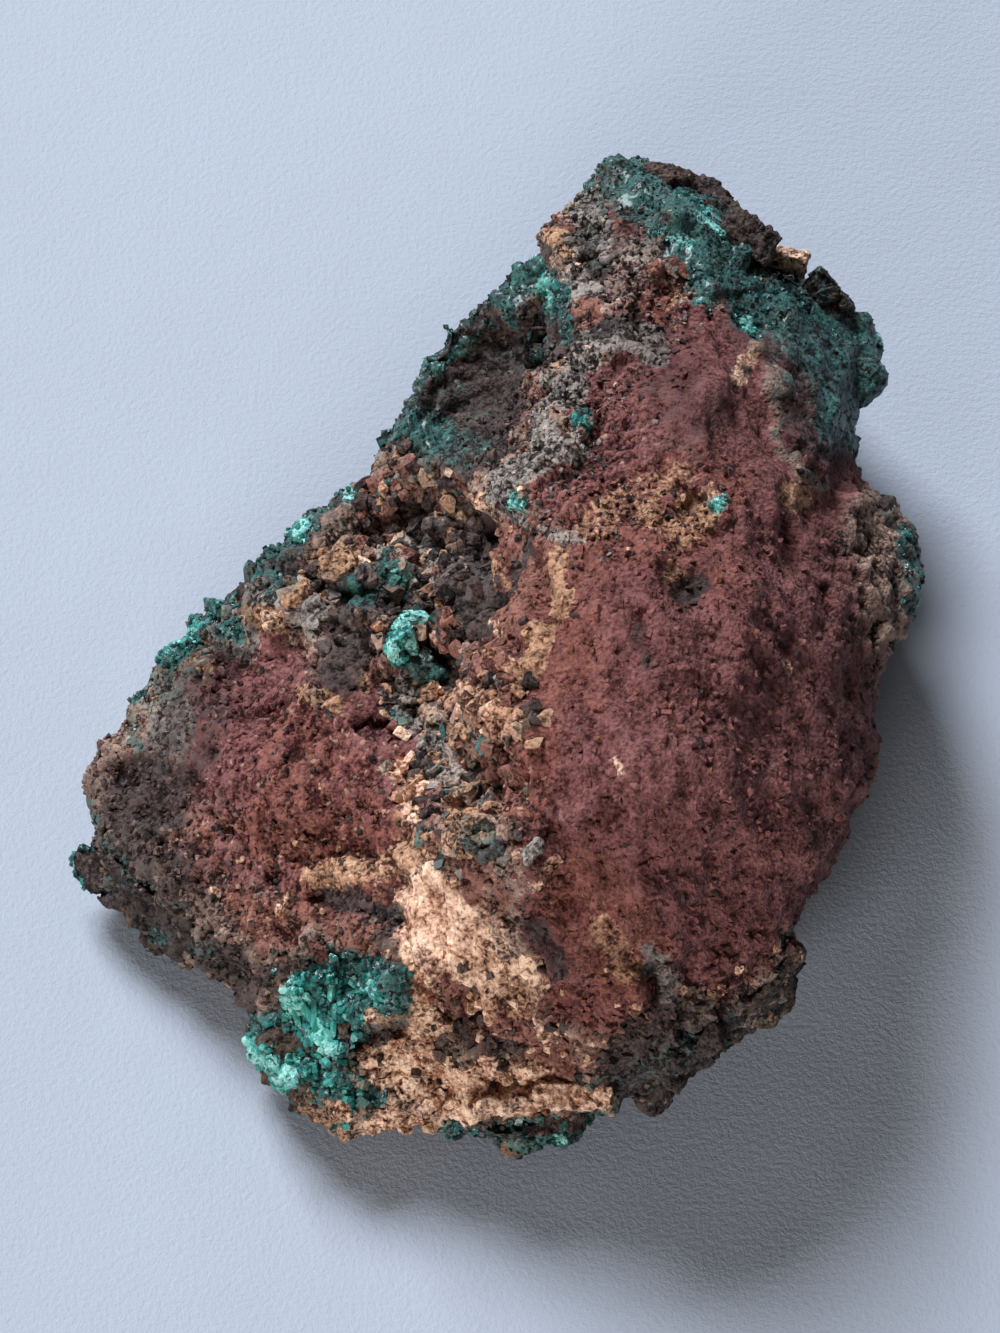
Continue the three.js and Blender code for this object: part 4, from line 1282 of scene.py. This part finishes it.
CRUSTS = (
    Crust("hollow_dioptase_crust", film=0.4, stain=0.6, tone=0.06, width=(0.1, 0.26), density=1.4),
    Crust("crest_dioptase_crust", film=0.3, stain=0.35, tone=0.17, width=(0.12, 0.34), density=1.3),
    Crust(
        "shoulder_dioptase_crust",
        film=0.4, stain=0.6, tone=0.06, width=(0.12, 0.3), density=0.5, softening=20,
    ),
    Crust("left_rim_dioptase_crust", film=0.4, tone=0.34, width=(0.15, 0.5), density=2.4, inward=(1.3, -1.3)),
    Crust("wing_tip_dioptase_crust", film=0.3, stain=0.6, tone=0.26, density=1.5),
    Crust("corner_dioptase_cluster", film=0.4, stain=0.3, tone=0.53, width=(0.25, 0.8), density=2.4),
    Crust("foot_dioptase_cluster", film=0.4, stain=0.5, tone=0.24, width=(0.15, 0.6), density=1.6),
    Crust(
        "fringe_dark_crust",
        slot="dark_crust", film=0.05, stain=0.85, tone=0.12, density=0.5, softening=24,
    ),
    Crust("right_flank_dioptase_crust", film=0.4, stain=0.7, tone=0.26),
    Crust("back_flank_dioptase_crust", film=0.7, stain=0.4, tone=0.4, width=(0.3, 1.0)),
)


@dataclass(frozen=True)
class Rubble:
    """Loose-looking crumbs fused to the stone in one area.

    Attributes:
        name: the piece's name.
        size: the smallest and largest crumbs in millimetres.
        density: crumbs on a square millimetre, where they lie thickest.
        spread: where they lie, as strokes.
        strays: the share of the crumbs that are of another tone than the stone under them.
    """

    name: str
    size: Span
    density: float
    spread: tuple[Stroke, ...]
    strays: dict[str, float]

    def strew(self, skin: Skin, casts: Sequence[Cast], seed: int) -> bpy.types.Object:
        """Strews the crumbs on the stone.

        Args:
            skin: the stone's skin.
            casts: the crumb forms.
            seed: for the draws.

        Returns:
            The crumbs joined in one piece.
        """
        seats = skin.seats(covered(self.spread, skin.blurred) * skin.seen * self.density, seed)
        count = len(seats.places)
        size = self.size[0] + (self.size[1] - self.size[0]) * (1 - seats.dice.power(0.5, count))
        sizes = size[:, None] * seats.dice.uniform(0.7, 1.3, (count, 3))
        for tone, share in self.strays.items():
            stray = seats.dice.random(count) < share
            seats.marks[tone] = np.where(stray, 1.0, seats.marks[tone])
        seats.marks["tone"] = 0.5 + 0.25 * seats.dice.normal(size=count)
        # A relief above the middle, which the finish paints lighter as painted light on the raised crumbs.
        seats.marks["relief"] = 0.6 + 0.1 * seats.dice.normal(size=count)
        return strewn(self.name, casts, seats, sizes, sink=0.14, tilt=0.8)


RUBBLE = (
    Rubble("gully_rubble", (0.25, 2.0), 1.1, strokes(
        (4.5, 1, -9, 17, -8, 4, -6, -8, -4, -15), (3.5, 0.9, -18, 6, -11, 11), (2, 0.6, -2, 0, 3, -6),
    ), dict(pale=0.08, rust=0.2, grey=0.2, dark=0.2, ochre=0.14, teal=0.03)),
    Rubble("knob_rubble", (0.2, 0.8), 1.8, strokes(
        (6, 1, 9, 44, 14, 36, 9, 28, 3, 19), (3, 0.6, 12, 14, 21, 16),
    ), dict(pale=0.04, rust=0.2, grey=0.15, dark=0.2)),
    Rubble("front_rubble", (0.25, 1.2), 0.9, strokes(
        (5, 1, -16, -43, -4, -40, 6, -40), (5, 0.5, -2, -32, 8, -34), (3, 0.9, 12, -38, 20, -34, 26, -30),
    ), dict(pale=0.08, ochre=0.15, rust=0.2, dark=0.1)),
    Rubble("wing_grit", (0.2, 0.8), 1.8, strokes(
        (7, 0.9, -36, -16, -26, -22, -18, -27), (6, 0.5, -26, -4, -16, -14), (4, 0.8, -36, -8, -30, 0),
    ), dict(dark=0.12, rust=0.2, ochre=0.04)),
    Rubble("boulder_grit", (0.2, 0.9), 0.6, strokes(
        (10, 0.9, 20, 10, 24, -8, 16, -24), (7, 1, 6, 8, 6, -20, 12, -32),
    ), dict(rust=0.15, dark=0.02)),
)


class Terrain:
    """The skins together, for finding the place that shows at a point of the sheet."""

    def __init__(self, skins: Sequence[Skin]) -> None:
        """Gathers the skins."""
        self.points = np.concatenate([skin.points for skin in skins])
        self.normals = np.concatenate([skin.normals for skin in skins])
        self.sheet = SIGHT.on_sheet(self.points)
        self.hidden = TURNED_AWAY * (1.0 - np.concatenate([skin.seen for skin in skins]))

    def at(self, spot: Point) -> tuple[np.ndarray, np.ndarray]:
        """Finds the surface under a point of the sheet, or as near to it as it comes.

        Args:
            spot: the point's u and v.

        Returns:
            The place, brought over to the point, and the surface's direction.
        """
        index = int(np.argmin(np.hypot(*(self.sheet - spot).T) + self.hidden))
        over = np.subtract(spot, self.sheet[index])
        return self.points[index] + np.array([over[0], 0, 0]) + over[1] * SIGHT.up, self.normals[index]


@dataclass(frozen=True)
class Lump:
    """A block of stone fused to the specimen.

    Attributes:
        spot: its middle on the sheet.
        size: along its bearing, across it and towards the eye, in millimetres.
        bearing: on the sheet, in degrees.
        tones: their strengths by name.
        voxel: the spacing of its mesh in millimetres.
        softening: how many times its edges are smoothed.
    """

    spot: Point
    size: tuple[float, float, float]
    bearing: float
    tones: dict[str, float]
    voxel: float = 0.16
    softening: int = 3

    def model(self, terrain: Terrain, seed: int) -> bpy.types.Object:
        """Models the block: a crumb's form, worked up into a fine mesh.

        Args:
            terrain: what it sits on.
            seed: for its form and its grain.

        Returns:
            The block.
        """
        place, _ = terrain.at(self.spot)
        turn = math.radians(self.bearing)
        right = np.array([1.0, 0.0, 0.0])
        along = math.cos(turn) * right + math.sin(turn) * SIGHT.up
        across = math.cos(turn) * SIGHT.up - math.sin(turn) * right
        frame = np.stack([along, across, -SIGHT.ahead])
        form = crumb_cast(seed)
        reach = np.ptp(form.corners, axis=0)
        mesh = bpy.data.meshes.new("block")
        mesh.from_pydata((form.corners / reach * np.array(self.size)) @ frame + place, [], form.faces)
        block = placed("block", mesh)
        apply(block, "REMESH", mode="VOXEL", voxel_size=self.voxel)
        apply(block, "SMOOTH", factor=0.5, iterations=self.softening)
        points = np.array([vertex.co for vertex in block.data.vertices])
        normals = np.array([vertex.normal for vertex in block.data.vertices])
        fine = layered(
            points,
            (0.3, 1.9, Grain.FACET, seed),
            (0.12, 0.8, Grain.FACET, seed + 1),
            (0.16, 1.3, Grain.SOFT, seed + 2),
        )
        points = points + normals * fine[:, None]
        settle(block.data, points)
        even = np.ones(len(points))
        marks = {zone.value: self.tones.get(zone.value, 0.0) * even for zone in TONES}
        marks.update(relief=0.5 + 0.6 * fine, tone=0.5 * even, calm=0.0 * even)
        write_marks(block.data, marks)
        bpy.ops.object.shade_smooth()
        return block


def lump(spot: Point, size: tuple[float, float, float], bearing: float, **tones: float) -> Lump:
    """A block, with its tones given by name."""
    return Lump(spot, size, bearing, tones)


LUMPS = (
    lump((17, 48.4), (6.2, 3.2, 5), -22, dark=0.5, rust=0.5, grey=0.4),
    lump((20.8, 46.6), (6.6, 4.4, 5), -52, dark=0.75, rust=0.4),
    lump((24.9, 43), (6, 3.6, 5), -34, dark=0.95),
    lump((26.8, 41.1), (7.4, 2.2, 5), -16, pale=0.6, ochre=0.5, grey=0.6),
    lump((32.6, 36.8), (5.4, 3.4, 5), -45, dark=0.7, bloom=0.5, teal=0.4),
    lump((-2.9, 5.9), (5.6, 3.4, 2.6), 80, dark=0.95, grey=0.4),
    lump((-18.7, 5.4), (2.8, 2.2, 1.8), 50, grey=0.9, dark=0.3),
    lump((-14.2, 8.7), (3.8, 2, 1.8), -10, grey=0.7, dark=0.7),
    lump((-24.2, 8), (2.2, 1.6, 1.4), 30, grey=0.9, dark=0.3),
    lump((-11.9, -34.5), (3.4, 1.3, 1.6), 20, pale=0.8, grey=0.6),
    lump((-2.9, -17.4), (2.2, 1.6, 1.4), -40, dark=0.8, teal=0.4),
    lump((-0.4, -18.2), (2.4, 1.5, 1.4), 15, dark=0.7, teal=0.35, grey=0.5),
    lump((3.2, -18.5), (2.2, 1.4, 1.3), 35, grey=0.8, pale=0.3),
    lump((4.8, -20.2), (3.2, 1, 1.1), 40, pale=0.5, rust=0.6),
    lump((-11.2, -28.7), (1.1, 0.8, 0.8), 40, pale=1),
    lump((12.6, 34), (1.8, 1.1, 1.2), -20, dark=0.9),
    lump((-5.4, 3.6), (4.6, 1.4, 1.6), 86, rust=0.9),
    lump((-17.9, -3), (2.6, 2, 1.4), 20, ochre=0.4, dark=0.3),
    lump((-20.2, 7), (3.2, 2, 1.6), 35, ochre=0.9),
    lump((-16.2, 10.4), (3.6, 2.2, 1.8), 20, ochre=0.8, pale=0.3),
    lump((-14.6, 4.8), (2.6, 2, 1.6), -30, dark=0.6, grey=0.6),
    lump((-22.8, 4.4), (2.4, 1.6, 1.3), -20, pale=0.5, ochre=0.5),
    lump((-9.4, -3.4), (2.2, 1.6, 1.4), 10, grey=0.9, pale=0.3),
    lump((-7, -0.4), (2.6, 2, 1.6), -40, dark=0.7, teal=0.7),
    lump((-9.6, -5.6), (2, 1.6, 1.3), -50, grey=0.7, teal=0.5),
    lump((-6.6, -9.4), (2.2, 1.4, 1.3), -60, ochre=0.6, grey=0.4),
    lump((-3.2, -7), (3, 2.2, 1.6), -30, rust=0.4),
    lump((-3.4, -12.6), (2, 1.4, 1.2), 30, grey=0.6, ochre=0.5),
    lump((-12.6, 12.4), (2.4, 1.6, 1.3), 30, dark=0.7),
    lump((-9, 13), (1.6, 1.1, 1), 0, pale=0.9),
    lump((-4.2, 14.6), (1.8, 1.2, 1), 40, pale=0.8, grey=0.4),
    lump((1.4, -43.2), (7.6, 2.4, 2.6), 8, pale=0.85, grey=0.8),
    lump((7.4, -42.9), (7.4, 2.6, 2.8), -4, pale=0.85, grey=0.8),
)


@dataclass(frozen=True)
class Spray:
    """Long crystals lying on a crust, each placed on the sheet.

    Attributes:
        name: the piece's name.
        rows: for each the point on the sheet, the bearing on it in degrees, the length and the width.
        rise: how far they rise from the crust, as a share of how far they lie along it.
    """

    name: str
    rows: tuple[tuple[Point, float, float, float], ...]
    rise: float = 0.45

    def grow(self, terrain: Terrain, casts: Sequence[Cast], seed: int) -> bpy.types.Object:
        """Grows the crystals.

        Args:
            terrain: what they lie on.
            casts: the crystal forms.
            seed: for the draws.

        Returns:
            The crystals joined in one piece.
        """
        dice = np.random.default_rng(seed)
        places = []
        axes = []
        for spot, bearing, _, _ in self.rows:
            place, normal = terrain.at(spot)
            turn = math.radians(bearing)
            axis = np.array([math.cos(turn), 0, 0]) + math.sin(turn) * SIGHT.up + self.rise * normal
            places.append(place)
            axes.append(axis / np.linalg.norm(axis))
        count = len(places)
        marks = {zone.value: np.zeros(count) for zone in TONES}
        marks["tone"] = 0.78 + 0.08 * dice.normal(size=count)
        sizes = np.array([(width, width, length) for _, _, length, width in self.rows])
        seats = Seats(np.array(places), np.array(axes), marks, dice)
        return strewn(self.name, casts, seats, sizes, sink=0.3, tilt=0.06)


CORNER_SPRAY = Spray("corner_long_crystals", (
    ((-19.6, -33.8), -60, 3.4, 0.9), ((-18.6, -34.8), -62, 4.2, 1.0), ((-17.6, -36.2), -66, 4.0, 0.9),
    ((-20.4, -34.6), -50, 2.6, 0.8), ((-18.2, -33.4), -70, 3.0, 0.8), ((-16.6, -35.4), -78, 2.8, 0.7),
    ((-24.0, -38.2), -40, 2.8, 1.1), ((-23.0, -39.2), -44, 3.0, 1.1), ((-22.0, -40.4), -42, 2.6, 1.0),
    ((-14.8, -31.6), -30, 2.4, 0.8), ((-13.4, -32.6), -15, 2.2, 0.7), ((-16.8, -32.0), -100, 2.4, 0.8),
))


@dataclass
class Specimen:
    """The whole specimen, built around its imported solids.

    Attributes:
        nodes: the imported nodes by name.
    """

    nodes: dict[str, bpy.types.Object]

    def dress(self, piece: bpy.types.Object, finish: bpy.types.Material, slot: str, *stands_for: str) -> None:
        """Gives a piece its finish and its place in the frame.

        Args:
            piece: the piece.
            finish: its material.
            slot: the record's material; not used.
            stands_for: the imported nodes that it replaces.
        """
        piece.data.materials.append(finish)
        if stands_for:
            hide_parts(*stands_for)
        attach(piece, BODY)
        LOG.info("%s: %d faces", piece.name, len(piece.data.polygons))

    def build(self) -> None:
        """Builds every piece in order."""
        crumbs = [crumb_cast(seed) for seed in range(4)]
        crystals = [crystal_cast(1.0, 0.9, 0.0), crystal_cast(1.0, 1.2, 0.05), crystal_cast(1.0, 0.7, -0.04)]
        rock = RockFinish("gossan").build()
        crust_brown = (tint(0.01, 0.007, 0.006), tint(0.13, 0.088, 0.065))
        crust_rock = RockFinish("crust_rock", brown=crust_brown).build()
        dioptase = DioptaseFinish().build()
        beds = [crust.bed(self.nodes[crust.node], seed) for seed, crust in enumerate(CRUSTS, 200)]
        stone = Gossan()
        skin = stone.carve(self.nodes[stone.node], beds)
        self.dress(skin.obj, rock, "gossan", stone.node)
        for seed, (crust, bed) in enumerate(zip(CRUSTS, beds), 300):
            self.dress(bed.obj, crust_rock, crust.slot, crust.node)
            self.dress(crust.grow(bed, crystals, seed), dioptase, crust.slot)
        for seed, rubble in enumerate(RUBBLE, 100):
            self.dress(rubble.strew(skin, crumbs, seed), rock, "gossan")
        terrain = Terrain([skin, *beds])
        self.dress(self.lumps(terrain), rock, "gossan")
        self.dress(CORNER_SPRAY.grow(terrain, crystals, 410), dioptase, "dioptase")
        seats = skin.seats(3.0 * ramp(skin.marks["teal"], 0.4, 0.85), 400)
        self.dress(crystals_on("face_crystals", seats, crystals, 0.38, (0.2, 0.65)), dioptase, "dioptase")

    def lumps(self, terrain: Terrain) -> bpy.types.Object:
        """Models the blocks and joins them in one piece.

        Args:
            terrain: what they sit on.

        Returns:
            The piece.
        """
        blocks = [block.model(terrain, seed) for seed, block in enumerate(LUMPS, 500)]
        bpy.ops.object.select_all(action="DESELECT")
        for block in blocks:
            block.select_set(True)
        bpy.context.view_layer.objects.active = blocks[0]
        bpy.ops.object.join()
        joined = bpy.context.object
        joined.name = "stone_blocks"
        return joined


@dataclass
class Studio:
    """A pale floor of paper, in soft window light.

    Attributes:
        paper: the paper's colour.
        key_place: where the window light is, in metres.
        key_power: its power in watts.
        key_width: its width in metres.
        bounce_place: where the light thrown back from the room is.
        bounce_power: its power in watts.
        fill: the strength of the light from all round.
        spread: the floor's width in metres.
    """

    paper: Colour = tint(0.4, 0.441, 0.523)
    key_place: tuple[float, float, float] = (-1.69, 3.18, 3.47)
    key_power: float = 425.0
    key_width: float = 2.0
    bounce_place: tuple[float, float, float] = (-1.08, -2.33, 0.74)
    bounce_power: float = 60.0
    fill: float = 0.1
    spread: float = 6.0

    def build(self) -> None:
        """Lays the floor and hangs the lights."""
        self.floor()
        self.light("window_light", self.key_place, self.key_power, self.key_width, (0.95, 1.0, 1.06))
        self.light("room_bounce", self.bounce_place, self.bounce_power, 1.0, (1.0, 0.97, 0.93))
        world = bpy.data.worlds.new("studio_air")
        world.use_nodes = True
        air = world.node_tree.nodes["Background"]
        air.inputs["Color"].default_value = tint(1.0, 0.97, 0.94)
        air.inputs["Strength"].default_value = self.fill
        bpy.context.scene.world = world
        bpy.context.scene.view_settings.view_transform = "Standard"

    def floor(self) -> None:
        """Lays the paper, faintly uneven in tone and surface."""
        bpy.ops.mesh.primitive_plane_add(size=self.spread, location=(0, 0, 0))
        paper = bpy.context.object
        paper.name = "paper_floor"
        bench = Bench("paper_floor_finish")
        patches = (bench.cloud(30.0, 3.0) * 0.35 + 0.5).between(-1.0, 2.0)
        shade = bench.blend(patches, tint(0, 0, 0), self.paper)
        sockets = {"Base Color": bench.blend(0.12, self.paper, shade), "Roughness": 0.9}
        tooth = bench.cloud(0.6, 3.0, 0.7) + bench.cloud(25.0, 2.0) * 3
        paper.data.materials.append(bench.surface(sockets, tooth, 0.05))

    def light(
        self,
        name: str,
        place: Sequence[float],
        power: float,
        width: float,
        colour: tuple[float, float, float],
    ) -> None:
        """Hangs a square light that shines at the specimen.

        Args:
            name: its name.
            place: where it is, in metres.
            power: in watts.
            width: in metres.
            colour: of its light.
        """
        bpy.ops.object.light_add(type="AREA", location=place)
        lamp = bpy.context.object
        lamp.name = name
        lamp.data.size = width
        lamp.data.energy = power
        lamp.data.color = colour
        lamp.rotation_euler = Vector(place).to_track_quat("Z", "Y").to_euler()


def corners(box: tuple[Vector, Vector]) -> list[list[float]]:
    """A box as plain lists of numbers."""
    return [list(corner) for corner in box]


def main() -> None:
    """Builds the scene."""
    logging.basicConfig(level=logging.INFO, format="%(name)s: %(message)s")
    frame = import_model()
    bpy.ops.object.select_all(action="DESELECT")
    SIGHT.camera()
    Studio().build()
    Specimen(frame["nodes"]).build()


if __name__ == "__main__":
    main()
